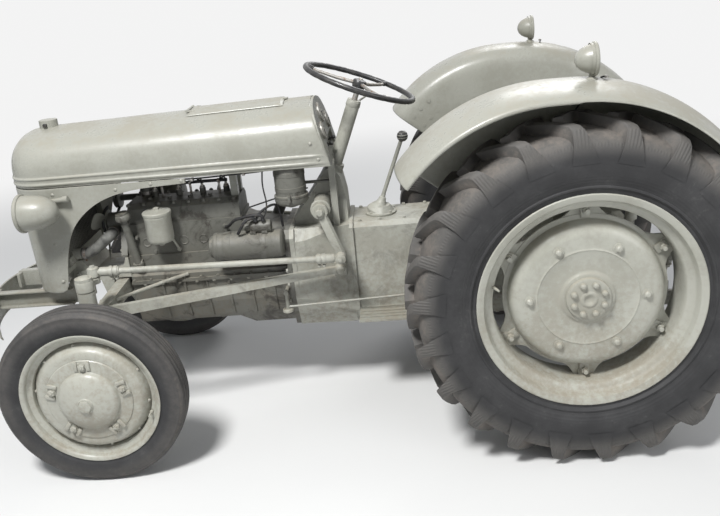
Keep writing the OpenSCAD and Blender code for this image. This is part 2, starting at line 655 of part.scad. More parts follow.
module bumper() color(paint) {
    r = 560;
    intersection() {
        translate([front_reach - r, 0, 455]) rotate_extrude($fn = 200) translate([r - 10, 0]) square([10,
            125]);
        translate([front_reach - 130, -352, 450]) cube([140, 704, 140]);
    }
    // arms bolted to the sides of the front support
    pair() slab_y(118, 130, [[x_front + 120, 545], [x_front + 120, 650], [x_front + 190, 650],
        [x_front + 238, 582], [front_reach - 16, 582], [front_reach - 16, 512], [x_front + 207, 512]]);
}
module lamps() color(paint) pair() {
    // headlamps on the nose panels
    turn_x(300, 958, [[0, x_front + 120], [40, x_front + 134], [64, x_front + 160], [75, x_front + 200],
        [75, x_front + 262], [68, x_front + 268], [0, x_front + 272]]);
    bar_y(x_front + 196, hood_hw, 240, 950, 17);
    translate([x_front + 172, hood_hw - 0.01, 918]) cube([48, 5, 62]);
    // rear lamps on the fenders
    translate([fender_c.x - fender_flat, fender_y + 154, fender_c.y]) rotate([0, -5, 0])
        translate([0, 0, fender_r - 1.1]) cylinder(h = 20, r = 12);
    translate([fender_c.x - fender_flat - 66, 0, 0])
        turn_x(fender_y + 154, fender_c.y + fender_r + 58, [[0, 30], [30, 20], [48, 0], [54, -22], [54,
            -40], [0, -44]]);
}
fender_r = rear_r + fender_clear;
fender_c = [110, rear_r + 73];       // centre of the fender's front arc
fender_flat = 70;                    // straight stretch on top, between the two arcs
// section in [radius, y]: inner wall, crown, rolled lip
function fender_sec(r, y, w, t) = [[r - 300, y], [r - 66, y], [r - 30, y + 18], [r - 8, y + 56], [r, y + 110],
    [r - 2, y + 180], [r - 14, y + 250], [r - 34, y + w], [r - 50, y + w], [r - 50, y + w - t],
    [r - 34 - t, y + w - t], [r - 14 - t, y + 250], [r - 2 - t, y + 180], [r - t, y + 110],
    [r - 8 - t, y + 56 + t / 2], [r - 30 - t, y + 18 + t], [r - 66, y + t], [r - 300, y + t]];
module fenders() color(paint) pair() {
    sec = fender_sec(fender_r, fender_y, fender_w, fender_t);
    flip = [for (p = sec) [p.x, -p.y]];
    translate([fender_c.x, 0, fender_c.y]) rotate([90, 0, 0]) rotate([0, 0, 38])
        rotate_extrude(angle = 52) polygon(flip);
    translate([fender_c.x - fender_flat, 0, fender_c.y]) rotate([90, 0, 0]) rotate([0, 0, 90])
        rotate_extrude(angle = 58) polygon(flip);
    slab_x(fender_c.x - fender_flat, fender_c.x, [for (p = sec) [p.y, fender_c.y + p.x]]);
    // bracket up from the axle housing
    bracket_z = rear_r + drum_r + 14;
    slab_y(fender_y - 10, fender_y + 1.5, [[-90, bracket_z], [90, bracket_z], [130, 1080], [-80, 1080]]);
    slab_y(fender_y - 18, fender_y - 8, [[-60, bracket_z - 80], [60, bracket_z - 80], [86, bracket_z + 20],
        [-86, bracket_z + 20]]);
}

// driver's place
seat_c = [-190, 0, 985];
module seat() color(paint) {
    // pan with a high back and a low front
    difference() {
        translate(seat_c) rotate_extrude()
            polygon([[0, 0], [120, 4], [170, 22], [204, 62], [seat_r, 130], [seat_r - 5, 132], [199, 66],
                [167, 27], [119, 9], [0, 5]]);
        translate(seat_c + [-300, -300, 0]) slab_y(0, 600, [[180, 140], [700, 20], [700, 200], [180, 200]]);
    }
    // flat spring bowed back from its bracket on the lift cover
    slab_y(-36, 36, [[128, 860], [-330, 868], [-368, 884], [-382, 912], [-370, 944], [-330, 964], [-120, 984],
        [-120, 974], [-328, 954], [-360, 938], [-371, 912], [-360, 892], [-328, 878], [128, 870]]);
    bar_z(-190, 0, 962, 988, 13);
}
module footrests() color(paint) pair() {
    translate([606, case_hw + gap, 396]) cube([200, 146, 8]);
    for (y = [30:28:140]) translate([606, case_hw + y, 404]) cube([200, 6, 4]);
    for (x = [640, 760]) slab_x(x, x + 14, [[case_hw + gap, 396], [case_hw + 120, 396], [case_hw + 20, 350],
        [case_hw + gap, 350]]);
}
module pedals() color(paint) {
    bar_y(520, case_hw + gap, 296, 470, 16);
    bar_y(520, -296, -case_hw - gap, 470, 16);
    // clutch and brake pedals: arm, then a pad that leans back
    for (p = [[285, 640], [-215, 632], [-285, 632]]) {
        bar_y(520, p[0] - 15, p[0] + 15, 470, 26);
        slab_y(p[0] - 7, p[0] + 7, [[510, 474], [528, 462], [600, 556], [572, p[1] + 4], [554, p[1] - 4],
            [580, 562]]);
        translate([560, p[0], p[1]]) rotate([0, -60, 0]) translate([-38, -36, -4]) cube([76, 72, 9]);
    }
}
module drawbar() color(paint) {
    difference() {
        translate([-430, -32, 300]) cube([700, 64, 22]);
        bar_z(-395, 0, 290, 330, drawbar_hole_r);
    }
    translate([-190, -60, 296]) cube([30, 28, 39]);
    translate([-190, 32, 296]) cube([30, 28, 39]);
    translate([-190, -60, 288]) cube([30, 120, 12]);
    translate([200, -32, 320]) cube([60, 64, 15]);
}

// three-point hitch
arm_len_h = 275;
arm_drop = 5;
arm_end = [-150 - arm_len_h * cos(arm_drop), 0, 815 - arm_len_h * sin(arm_drop)];
lift_y = 226;
link_rod = 400;                       // from the front eye to the lift rod's eye
lift_pin_r = 10;
lift_play = 2.8;                      // play of the lift rod's upper eye on its pin
function link_pt(d, z) = [link_x - d * link_dx / link_len, 215 + d * link_dy / link_len, z];
rod_low = link_pt(link_rod, link_z + 46);
module lift_arms() color(paint) {
    bar_y(-150, -lift_y - 24, lift_y + 24, 815, 24);
    pair() {
        bar_y(-150, 192, lift_y + 24, 815, 42);
        slab_y(lift_y - 12, lift_y + 12, [[-140, 855], [-150, 775], [arm_end.x - 18, arm_end.z - 20],
            [arm_end.x - 24, arm_end.z + 16]]);
        bar_y(arm_end.x, lift_y - 14, lift_y + 42, arm_end.z, lift_pin_r);
    }
}
module lift_rods() color(paint) pair() {
    difference() {
        union() {
            bar_y(arm_end.x, lift_y + 16, lift_y + 38, arm_end.z, 26);
            rod([arm_end.x, lift_y + 27, arm_end.z - 20], [rod_low.x, lift_y + 27, rod_low.z + 20], 14);
            bar_y(rod_low.x, lift_y + 14, lift_y + 38, rod_low.z, 24);
        }
        bar_y(arm_end.x, lift_y, lift_y + 60, arm_end.z, lift_pin_r + lift_play);
        bar_y(rod_low.x, lift_y, lift_y + 60, rod_low.z, 11 + pin_gap);
    }
    bar_z((arm_end.x + rod_low.x) / 2, lift_y + 27, (arm_end.z + rod_low.z) / 2 - 60,
        (arm_end.z + rod_low.z) / 2 + 60, 22);
}
module lower_links() color(paint) pair() {
    a = link_pt(0, link_z);
    b = link_pt(link_len, link_z);
    difference() {
        union() {
            strap(link_pt(20, link_z), link_pt(link_len - 20, link_z), 58, 20);
            bar_y(a.x, a.y - 14, a.y + 14, link_z, 28);
            bar_y(b.x, b.y - 16, b.y + 16, link_z, link_end_r);
        }
        bar_y(a.x, a.y - 40, a.y + 40, link_z, 11 + pin_gap);
        bar_y(b.x, b.y - 40, b.y + 40, link_z, eye_r);
    }
    // lug and pin for the lift rod
    translate([rod_low.x - 20, rod_low.y - 16, link_z + 10]) cube([40, 10, 52]);
    bar_y(rod_low.x, rod_low.y - 60, rod_low.y - 6, rod_low.z, 11);
}

// wheels, as profiles of [radius, distance from the wheel's middle]
module rear_wheel(s) color(paint) side(s) {
    m = rear_track / 2;
    h = rear_rim_w / 2;
    r = rear_rim_r;
    turn_y(0, rear_r, [for (p = [[r, -h], [r, -h + 5], [r - 24, -h + 10], [r - 30, -h + 40], [r - 56,
        -h + 52],
        [r - 56, h - 52], [r - 30, h - 40], [r - 24, h - 10], [r, h - 5], [r, h], [r - 4, h],
        [r - 30, h - 6], [r - 35, h - 36], [r - 61, h - 48], [r - 61, -h + 48], [r - 35, -h + 36],
            [r - 30, -h + 6],
        [r - 4, -h]]) [p.x, m + p.y]]);
    // dished disc
    turn_y(0, rear_r, [for (p = [[0, 64], [88, 64], [94, 56], [disc_r - 42, 58], [disc_r - 14, 48],
        [disc_r, 28],
        [disc_r + 3, 2], [disc_r + 18, 2], [disc_r + 18, -6], [disc_r - 6, -6], [disc_r - 10, 24],
        [disc_r - 24, 40], [94, 46], [0, 48]]) [p.x, m + p.y]]);
    // hub with its nuts, axle end and brake drum
    bar_y(0, m + 46, m + 76, rear_r, 77);
    for (a = [22.5:45:337.5]) translate([55 * cos(a), m + 74, rear_r + 55 * sin(a)]) rotate([-90, 0, 0])
        cylinder(h = 16, r = 11, $fn = 6);
    bar_y(0, 446 + gap, m + 50, rear_r, 62);
    turn_y(0, rear_r, [[0, m - 60], [drum_r, m - 60], [drum_r, 450], [drum_r - 12, 450], [drum_r - 12,
        m - 74], [0, m - 74]]);
    for (a = [0:60:300]) translate([196 * cos(a), m + 50, rear_r + 196 * sin(a)]) rotate([-90, 0, 0])
        cylinder(h = 22, r = 11);
    // feet that carry the rim
    for (a = [0:60:300]) translate([0, 0, rear_r]) rotate([0, a, 0]) {
        slab_y(m - 12, m + 1, [[-78, disc_r + 4], [78, disc_r + 4], [34, r - 58], [-34, r - 58]]);
        translate([0, m, disc_r + 34]) rotate([-90, 0, 0]) cylinder(h = 26, r = 14);
    }
}
module rear_tyre(s) color(rubber) side(s) {
    m = rear_track / 2;
    w = rear_w / 2;
    h = rear_rim_w / 2;
    rc = rear_r - lug_h;
    c = rear_rim_r;
    translate([0, m, rear_r]) rotate([-90, 0, 0]) union() {
        rotate_extrude() polygon([for (k = [1, -1]) each let (p = [[c - 23.8, h - 11], [c - 10, h - 7.8],
            [c, h - 5.6], [c + 14, h - 5.6], [c + 50, w - 8], [c + 96, w], [c + 150, w - 5], [rc - 22,
                w - 24], [rc - 5, w - 66], [rc, 0]])
            [for (i = [0:len(p) - 1]) let (q = k > 0 ? p[i] : p[len(p) - 1 - i]) if (k > 0 || i > 0) [q.x,
                k * q.y]]]);
        for (k = [-1, 1], i = [0:lug_n - 1])
            rotate([0, 0, (i + (k > 0 ? 0 : 0.5)) * 360 / lug_n]) lug(k, w, rc);
    }
}
// one lug: sections of [y, top radius, root radius, lag behind the crown, half thickness]
module lug(k, w, rc) {
    s = [[-10, rear_r, rc - 12, 0, lug_w * 0.5], [40, rear_r, rc - 14, 42, lug_w * 0.5],
        [w - 46, rear_r - 8, rc - 30, 104, lug_w * 0.52], [w - 10, rear_r - 34, rc - 60, 128, lug_w * 0.6],
        [w + 3, rear_r - 74, rc - 110, 140, lug_w * 0.5], [w + 1, rear_r - 128, rc - 132, 150, lug_w * 0.34]];
    pts = [for (q = s) each [for (c = [[1, -1], [1, 1], [2, 1.25], [2, -1.25]])
        let (r = q[c[0]], a = -57.2958 * (q[3] + c[1] * q[4]) / rear_r) [r * sin(a), -r * cos(a), k * q[0]]]];
    n = len(s);
    f = concat([[0, 1, 2], [0, 2, 3]], [for (i = [0:n - 2], j = [0:3]) each let (a = 4 * i + j,
        b = 4 * i + (j + 1) % 4)
        [[a, a + 4, b + 4], [a, b + 4, b]]], [[4 * n - 4, 4 * n - 2, 4 * n - 3], [4 * n - 4, 4 * n - 1,
            4 * n - 2]]);
    polyhedron(pts, k < 0 ? f : [for (t = f) [t[2], t[1], t[0]]]);
}
module front_wheel(s) color(paint) side(s) {
    m = front_track / 2;
    h = front_rim_w / 2;
    r = front_rim_r;
    turn_y(x_front, front_r, [for (p = [[r, -h], [r, -h + 4], [r - 14, -h + 8], [r - 18, -h + 24],
        [r - 38, -h + 32],
        [r - 38, h - 32], [r - 18, h - 24], [r - 14, h - 8], [r, h - 4], [r, h], [r - 4, h], [r - 18, h - 5],
        [r - 22, h - 21], [r - 42, h - 29], [r - 42, -h + 29], [r - 22, -h + 21], [r - 18, -h + 5],
            [r - 4, -h]])
        [p.x, m + p.y]]);
    // disc and hub round the stub axle
    turn_y(x_front, front_r, [for (p = [[150, 44], [166, 45], [188, 38], [r - 44, 16], [r - 40, -6],
        [r - 46, -6], [r - 52, 12], [184, 30], [150, 36]]) [p.x, m + p.y]]);
    turn_y(x_front, front_r, [for (p = [[stub_r + pin_gap, -h - 2], [50, -h - 2], [54, 8], [104, 28],
        [160, 34], [160, 50], [hub_cap_r + 6, 54], [hub_cap_r, 60], [hub_cap_r - 36, 80], [28, 92], [26, 104],
        [0, 104], [0, 26], [stub_r + pin_gap, 26]]) [p.x, m + p.y]]);
    for (a = [0:72:288]) translate([x_front + 137 * cos(a), m + 48, front_r + 137 * sin(a)])
        rotate([-90, 0, 0]) cylinder(h = 18, r = 12, $fn = 6);
}
module front_tyre(s) color(rubber) side(s) {
    m = front_track / 2;
    w = front_w / 2;
    h = front_rim_w / 2;
    c = front_rim_r;
    r = front_r;
    half = [[c - 13.8, h - 8.6], [c, h - 4.5], [c + 10, h - 4.5], [c + 30, w - 2], [c + 46, w], [r - 22,
        w - 8],
        [r - 8, w - 17], [r - 4, w - 24], [r - 10, w - 28], [r - 10, w - 34], [r - 2, w - 37], [r, 9],
            [r - 8, 7.5],
        [r - 8, 5], [r, 4]];
    turn_y(x_front, front_r, concat([for (p = half) [p.x, m + p.y]],
        [for (i = [len(half) - 1:-1:0]) [half[i].x, m - half[i].y]]));
}

frame() engine_block();
frame() oil_pan();
frame() transmission_case();
frame() axle_housing();
frame() lift_cover();
frame() hood();
frame() nose_shell();
frame() grille();
frame() radiator();
frame() fan();
frame() fuel_tank();
frame() air_cleaner();
frame() dash_panel();
frame() steering_box();
frame() oil_filter();
frame() starter();
frame() generator();
frame() manifold();
frame() exhaust();
frame() axle_support();
frame() front_axle();
frame() bumper();
frame() lamps();
frame() fenders();
frame() seat();
frame() footrests();
frame() pedals();
frame() levers();
frame() hoses();
frame() cables();
frame() drawbar();
frame() knuckle(1);  // knuckle_left
frame() knuckle(-1);  // knuckle_right
frame() pitman(1);  // pitman_left
frame() pitman(-1);  // pitman_right
frame() drag_link(1);  // drag_link_left
frame() drag_link(-1);  // drag_link_right
frame() steering_wheel();
frame() hood_door();
frame() front_wheel(1);  // front_wheel_left
frame() front_wheel(-1);  // front_wheel_right
frame() front_tyre(1);  // front_tyre_left
frame() front_tyre(-1);  // front_tyre_right
frame() rear_wheel(1);  // rear_wheel_left
frame() rear_wheel(-1);  // rear_wheel_right
frame() rear_tyre(1);  // rear_tyre_left
frame() rear_tyre(-1);  // rear_tyre_right
frame() lift_arms();
frame() lift_rods();
frame() lower_links();
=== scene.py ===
from math import cos, pi, radians, sin, sqrt, tau

import bmesh
import bpy
from mathutils import Matrix, Vector


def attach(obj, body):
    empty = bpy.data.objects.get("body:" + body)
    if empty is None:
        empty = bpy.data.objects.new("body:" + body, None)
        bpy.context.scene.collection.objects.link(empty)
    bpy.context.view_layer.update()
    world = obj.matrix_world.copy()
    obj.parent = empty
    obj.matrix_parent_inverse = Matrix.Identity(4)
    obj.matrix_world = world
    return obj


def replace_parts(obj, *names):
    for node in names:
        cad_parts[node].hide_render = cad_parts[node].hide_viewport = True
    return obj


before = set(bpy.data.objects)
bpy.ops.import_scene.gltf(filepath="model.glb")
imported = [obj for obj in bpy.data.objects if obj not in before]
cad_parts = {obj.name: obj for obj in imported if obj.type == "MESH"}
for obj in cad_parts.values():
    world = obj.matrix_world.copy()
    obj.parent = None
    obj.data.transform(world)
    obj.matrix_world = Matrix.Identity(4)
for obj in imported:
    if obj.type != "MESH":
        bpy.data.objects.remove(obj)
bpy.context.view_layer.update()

# Names and helpers. Pieces are drawn in millimetres from the rear axle line on the ground, X
# ahead, Y left and Z up. piece() then turns them to metres and moves them into the frame.

MIDDLE = 0.770911  # distance in metres from the rear axle line to the frame's origin
REAR_R, FRONT_R = 617, 345  # radius of the tyres
REAR_MIDDLE = Vector((0, 611, REAR_R))
FRONT_MIDDLE = Vector((1778, 620, FRONT_R))
UP = Vector((0, 0, 1))
LEFT = Vector((0, 1, 0))
AHEAD = Vector((1, 0, 0))
SIDES = (1, -1)  # left and right
SAME_POINT = 0.02  # points of a turned profile nearer than this are joined


class Wire:
    """A shader socket that sums can be written on; each sum adds its Math node."""

    def __init__(self, tree, socket=None):
        self.tree, self.socket = tree, socket

    def node(self, kind, settings=(), sockets=(), out=0):
        """Adds a node, sets it, feeds its sockets with values or wires, and gives its output."""
        made = self.tree.nodes.new("ShaderNode" + kind)
        for key, value in dict(settings).items():
            setattr(made, key, value)
        for key, value in dict(sockets).items():
            if isinstance(value, Wire):
                self.tree.links.new(value.socket, made.inputs[key])
            elif isinstance(value, tuple) and made.inputs[key].type == "RGBA":
                made.inputs[key].default_value = (*value, 1)
            else:
                made.inputs[key].default_value = value
        return Wire(self.tree, made.outputs[out])

    def sum(self, operation, *terms):
        return self.node("Math", {"operation": operation}, dict(enumerate(terms)))

    def noise(self, place, scale, detail, rough=0.5, twist=0.0):
        return self.node("TexNoise", sockets={"Vector": place, "Scale": scale, "Detail": detail,
                                              "Roughness": rough, "Distortion": twist})

    def bump(self, strength, distance, height):
        return self.node("Bump", sockets={"Strength": strength, "Distance": distance,
                                          "Height": height})

    def __add__(self, other):
        return self.sum("ADD", self, other)

    def __sub__(self, other):
        return self.sum("SUBTRACT", self, other)

    def __rsub__(self, other):
        return self.sum("SUBTRACT", other, self)

    def __mul__(self, other):
        return self.sum("MULTIPLY", self, other)

    def __pow__(self, other):
        return self.sum("POWER", self, other)

    __radd__, __rmul__ = __add__, __mul__

    def above(self, low, high):
        """0 below low, 1 above high, and a soft step between them."""
        return self.node("MapRange", {"interpolation_type": "SMOOTHSTEP"},
                         {"Value": self, "From Min": low, "From Max": high})

    def mixed(self, plain, other):
        """The first colour where this wire is 0, the second where it is 1."""
        return self.node("Mix", {"data_type": "RGBA"}, {0: self, 6: plain, 7: other}, out=2)


def new_finish(name):
    """A new material: itself, its wire, its Object coordinates and its Principled shader."""
    finish = bpy.data.materials.new(name)
    finish.use_nodes = True
    wire = Wire(finish.node_tree)
    place = wire.node("TexCoord", out=3)
    return finish, wire, place, finish.node_tree.nodes["Principled BSDF"]


def feed(finish, shader, sockets):
    """Gives the shader its values, colours or wires."""
    for key, value in sockets.items():
        if isinstance(value, Wire):
            finish.node_tree.links.new(value.socket, shader.inputs[key])
        else:
            shader.inputs[key].default_value = (*value, 1) if isinstance(value, tuple) else value


def grey_paint(name, grain, depth, gloss=0.42, dust=0.5, oil=0.0, rust=0.25, tone_and_shade=1.0):
    """Brushed or sprayed grey enamel: it dulls in patches, holds dust where it faces up,
    darkens with oil low on the castings, and lets rust through in small spots."""
    finish, wire, place, shader = new_finish(name)
    cloud = wire.noise(place, 5.0, 5.0, 0.6)
    fine = wire.noise(place, 55.0, 4.0, 0.65)
    facing = wire.node("SeparateXYZ", sockets={0: wire.node("NewGeometry", out=1)}, out=2)
    height = wire.node("SeparateXYZ", sockets={0: place}, out=2)
    worn = (cloud * 0.7 + fine * 0.3).above(0.42, 0.6)
    # The grey is scaled here: a plain tone on most parts, and well below one, as on the engine, a
    # painted shade.
    colour = worn.mixed(tuple(tone_and_shade * c for c in (0.322, 0.322, 0.282)),
                        tuple(tone_and_shade * c for c in (0.275, 0.273, 0.234)))
    settled = facing.above(0.25, 0.95) * (cloud + fine * 0.6).above(0.62, 0.95) * dust
    colour = settled.mixed(colour, (0.345, 0.315, 0.25))
    splash = (1 - height.above(0.32, 0.85)) * (fine * 0.6 + cloud * 0.5).above(0.42, 0.72) * dust
    colour = (splash * 0.75).mixed(colour, (0.20, 0.155, 0.105))
    if oil:
        seep = wire.noise(place, 9.0, 6.0, 0.7, 0.6)
        colour = (seep.above(0.5, 0.66) * oil).mixed(colour, (0.035, 0.030, 0.024))
    speck = wire.noise(place, 140.0, 3.0, 0.7)
    spots = (speck * 0.65 + cloud * 0.35).above(0.655, 0.69) * rust
    colour = spots.mixed(colour, (0.15, 0.060, 0.022))
    skin = wire.noise(place, grain, 5.0, 0.6)
    bump = wire.bump(depth, 0.002, skin - spots * 0.4)
    rough = gloss + worn * 0.10 + settled * 0.35 + splash * 0.25 + spots * 0.3
    feed(finish, shader, {"Base Color": colour, "Roughness": rough, "Normal": bump,
                          "Specular IOR Level": 0.45})
    return finish


def speckled(name, grain, edges, plain, other, gloss, spread=0.0, more=()):
    """Two colours parted by a noise, whose grain is its scale and detail; where edges are
    given, the other colour begins at the first and is full at the second."""
    finish, wire, place, shader = new_finish(name)
    noise = wire.noise(place, *grain)
    share = noise.above(*edges) if edges else noise
    feed(finish, shader, {"Base Color": share.mixed(plain, other),
                          "Roughness": noise * spread + gloss, **dict(more)})
    return finish


def in_scene(name, data):
    """A new object of the scene that shows a mesh, a light or a camera."""
    made = bpy.data.objects.new(name, data)
    bpy.context.scene.collection.objects.link(made)
    return made


def piece(name, bm, finish, body="chassis", crease=32):
    """Turns a bmesh drawn in millimetres from the rear axle line into a piece in its place."""
    bm.transform(Matrix.Translation((-MIDDLE, 0, 0)) @ Matrix.Scale(0.001, 4))
    mesh = bpy.data.meshes.new(name)
    bm.to_mesh(mesh)
    bm.free()
    mesh.shade_smooth()
    mesh.set_sharp_from_angle(angle=radians(crease))
    mesh.materials.append(finish)
    made = in_scene(name, mesh)
    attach(made, body)
    return made


def dress(finish, *nodes):
    """Gives CAD nodes whose shape is right their finish."""
    for name in nodes:
        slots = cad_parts[name].material_slots
        if not slots:
            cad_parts[name].data.materials.append(finish)
        for slot in slots:
            slot.material = finish


def pointing(way, at=(0, 0, 0)):
    """The matrix that puts a shape drawn along Z at a place, along a direction."""
    turn = UP.rotation_difference(Vector(way)).to_matrix().to_4x4()
    return Matrix.Translation(at) @ turn


def turned(bm, profile, at=(0, 0, 0), way=UP, steps=48):
    """Spins a profile of (radius, height) round the direction way through a place."""
    verts = [bm.verts.new((r, 0, h)) for r, h in profile]
    edges = [bm.edges.new(pair) for pair in zip(verts, verts[1:])]
    bmesh.ops.spin(bm, geom=verts + edges, axis=(0, 0, 1), cent=(0, 0, 0), angle=tau,
                   steps=steps, use_merge=True)
    group = connected(verts[0])
    bmesh.ops.remove_doubles(bm, verts=group, dist=SAME_POINT)
    group = connected(next(v for v in group if v.is_valid))
    bmesh.ops.recalc_face_normals(bm, faces=list({f for v in group for f in v.link_faces}))
    bmesh.ops.transform(bm, matrix=pointing(way, at), verts=group)


def only(geom, kind):
    """The vertices, edges or faces among a step's results."""
    return [g for g in geom if isinstance(g, kind)]


def connected(first):
    """Every vertex joined to this one."""
    seen, waiting = {first}, [first]
    while waiting:
        for edge in waiting.pop().link_edges:
            for vert in edge.verts:
                if vert not in seen:
                    seen.add(vert)
                    waiting.append(vert)
    return list(seen)


def bolt(bm, at, way, r, h):
    """A hexagon head on its washer, with the corners taken off."""
    place = pointing(way, at)
    base = bmesh.ops.create_circle(bm, cap_ends=True, segments=14, radius=r * 1.22, matrix=place)
    grow(bm, base["verts"], way, [(h * 0.18, 1)])
    base = bmesh.ops.create_circle(bm, cap_ends=True, segments=6, radius=r, matrix=place)
    grow(bm, base["verts"], way, [(h * 0.82, 1), (h * 0.18, 0.8)])


def grow(bm, verts, way, steps):
    """Extrudes the face of these vertices along way in steps of (rise, scale), and leaves no
    face inside the solid."""
    base = face = verts[0].link_faces[0]
    way = Vector(way).normalized()
    for rise, scale in steps:
        out = bmesh.ops.extrude_face_region(bm, geom=[face])["geom"]
        if face is not base:
            bmesh.ops.delete(bm, geom=[face], context="FACES_ONLY")
        top = only(out, bmesh.types.BMVert)
        face = only(out, bmesh.types.BMFace)[0]
        bmesh.ops.translate(bm, vec=way * rise, verts=top)
        middle = sum((v.co for v in top), Vector()) / len(top)
        for v in top:
            v.co = middle + (v.co - middle) * scale
    bmesh.ops.recalc_face_normals(bm, faces=list({f for v in connected(face.verts[0])
                                                  for f in v.link_faces}))


def round_edges(bm, edges, soft):
    """Bevels edges, soft being how far the rounding reaches from each."""
    bmesh.ops.bevel(bm, geom=edges, offset=soft, segments=2, profile=0.5, affect="EDGES",
                    material=-1)


def plate(bm, corners, low, high, soft):
    """A lone plate between two planes across Y, cut to corners of (x, z), edges rounded."""
    face = bm.faces.new([bm.verts.new((x, low, z)) for x, z in corners])
    out = bmesh.ops.extrude_face_region(bm, geom=[face])["geom"]
    bmesh.ops.translate(bm, vec=(0, high - low, 0), verts=only(out, bmesh.types.BMVert))
    bmesh.ops.recalc_face_normals(bm, faces=bm.faces[:])
    round_edges(bm, bm.edges[:], soft)


def block(bm, low, high, soft=0):
    """A plate or a cast lug between two corners, with its edges rounded."""
    low, high = Vector(tuple(map(min, low, high))), Vector(tuple(map(max, low, high)))
    made = bmesh.ops.create_cube(bm, size=1, matrix=Matrix.Translation((low + high) / 2)
                                 @ Matrix.Diagonal((*(high - low), 1)))
    if soft:
        round_edges(bm, list({e for v in made["verts"] for e in v.link_edges}), soft)


def whole(bm):
    """All of a mesh, as the argument of a step."""
    return bm.verts[:] + bm.edges[:] + bm.faces[:]


def lump(bm, at, reach, soft=0):
    """A block that reaches as far on all sides of a point."""
    block(bm, at - Vector(reach), at + Vector(reach), soft)


def mirrored(bm, merge=0):
    """Adds the other side of the tractor, and joins points that are nearer than merge."""
    bmesh.ops.mirror(bm, geom=whole(bm), axis="Y", matrix=Matrix.Identity(4), merge_dist=-1)
    if merge:
        bmesh.ops.remove_doubles(bm, verts=bm.verts[:], dist=merge)
    bmesh.ops.recalc_face_normals(bm, faces=bm.faces[:])


def doubled(half):
    """Half a wheel's profile with its mirror image across the middle plane."""
    return half + [(r, -h) for r, h in half[-2::-1]]


def band(r, rise, low, high, chamfer=1):
    """The profile of a strap round a cylinder, with its edges taken off."""
    return [(r, low), (r + rise, low + chamfer), (r + rise, high - chamfer), (r, high)]


def washer(inner, outer, low, high):
    """The closed profile of a ring between two radii and two heights."""
    return [(inner, low), (outer, low), (outer, high), (inner, high), (inner, low)]


def around(n, r, middle, first=0.0, across=AHEAD, up=UP):
    """The places of n bolts on a circle."""
    turns = [first + tau * k / n for k in range(n)]
    return [Vector(middle) + r * (cos(a) * across + sin(a) * up) for a in turns]


def skin(bm, rings):
    """Joins rings of points, each closed round, into a surface."""
    n = len(rings[0])
    return [bm.faces.new((a[k], b[k], b[(k + 1) % n], a[(k + 1) % n]))
            for a, b in zip(rings, rings[1:]) for k in range(n)]


def both_sides(name, draw, finish, body, node=None, crease=32):
    """Draws the left piece and its mirror image, each riding on its own body."""
    for hand in ("left", "right"):
        bm = bmesh.new()
        draw(bm)
        if hand == "right":
            bmesh.ops.scale(bm, vec=(1, -1, 1), verts=bm.verts[:])
            bmesh.ops.reverse_faces(bm, faces=bm.faces[:])
        made = piece(f"{name}_{hand}", bm, finish, body.format(hand), crease)
        if node:
            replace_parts(made, node.format(hand))


def merge_in(bm, other, matrix):
    """Adds one bmesh to another at a place."""
    other.transform(matrix)
    held = bpy.data.meshes.new("held")
    other.to_mesh(held)
    other.free()
    bm.from_mesh(held)
    bpy.data.meshes.remove(held)


def ring(bm, middle, way, r, sides, twist):
    """A circle of points across a path, begun on the side that twist gives."""
    across_way = way.cross(twist).normalized()
    up_way = across_way.cross(way).normalized()
    return [bm.verts.new(middle + r * (cos(tau * k / sides) * across_way
                                       + sin(tau * k / sides) * up_way))
            for k in range(sides)]


def rounded(path, bend, steps=5):
    """A path whose corners are rounded, bend being how far from a corner the curve begins."""
    path = [Vector(p) for p in path]
    made = [path[0]]
    for before, here, after in zip(path, path[1:], path[2:]):
        back, on = before - here, after - here
        start = here + back.normalized() * min(bend, back.length * 0.48)
        end = here + on.normalized() * min(bend, on.length * 0.48)
        made += [start.lerp(here, t).lerp(here.lerp(end, t), t)
                 for t in (k / steps for k in range(steps + 1))]
    return made + [path[-1]]


def tube(bm, path, r, sides=12, bend=30, closed=False):
    """Sweeps a circle along a path whose corners are rounded as bend says. r is one radius or,
    where bend is 0, a list with one for each point."""
    path = rounded(path, bend) if bend else [Vector(p) for p in path]
    sizes = r if isinstance(r, list) else [r] * len(path)
    twist = UP if abs((path[1] - path[0]).normalized().z) < 0.9 else AHEAD
    rings = []
    for k, point in enumerate(path):
        if closed:
            way = (path[(k + 1) % len(path)] - path[k - 1]).normalized()
        else:
            way = (path[min(k + 1, len(path) - 1)] - path[max(k - 1, 0)]).normalized()
        twist = (twist - way * twist.dot(way)).normalized()
        rings.append(ring(bm, point, way, sizes[k], sides, twist))
    faces = skin(bm, rings + ([rings[0]] if closed else []))
    if not closed:
        faces += [bm.faces.new(rings[0][::-1]), bm.faces.new(rings[-1])]
    bmesh.ops.recalc_face_normals(bm, faces=faces)


# The castings: engine block, oil pan, clutch housing and gearbox, rear axle, lift cover and
# front support. Grey iron poured in sand, machined only on their joints, bolted end to end so
# that they are the tractor's backbone, and brushed with the same grey as the sheet metal.

casting = grey_paint("cast_iron_paint", 95.0, 0.55, gloss=0.45, dust=0.55, oil=0.28, rust=0.4,
                     tone_and_shade=1.16)
dress(casting, "engine_block", "oil_pan", "transmission_case", "axle_housing", "lift_cover",
      "axle_support", "steering_box", "front_axle", "drawbar", "knuckle_left", "knuckle_right",
      "pitman_left", "pitman_right", "drag_link_left", "drag_link_right", "lift_arms",
      "lift_rods", "lower_links")

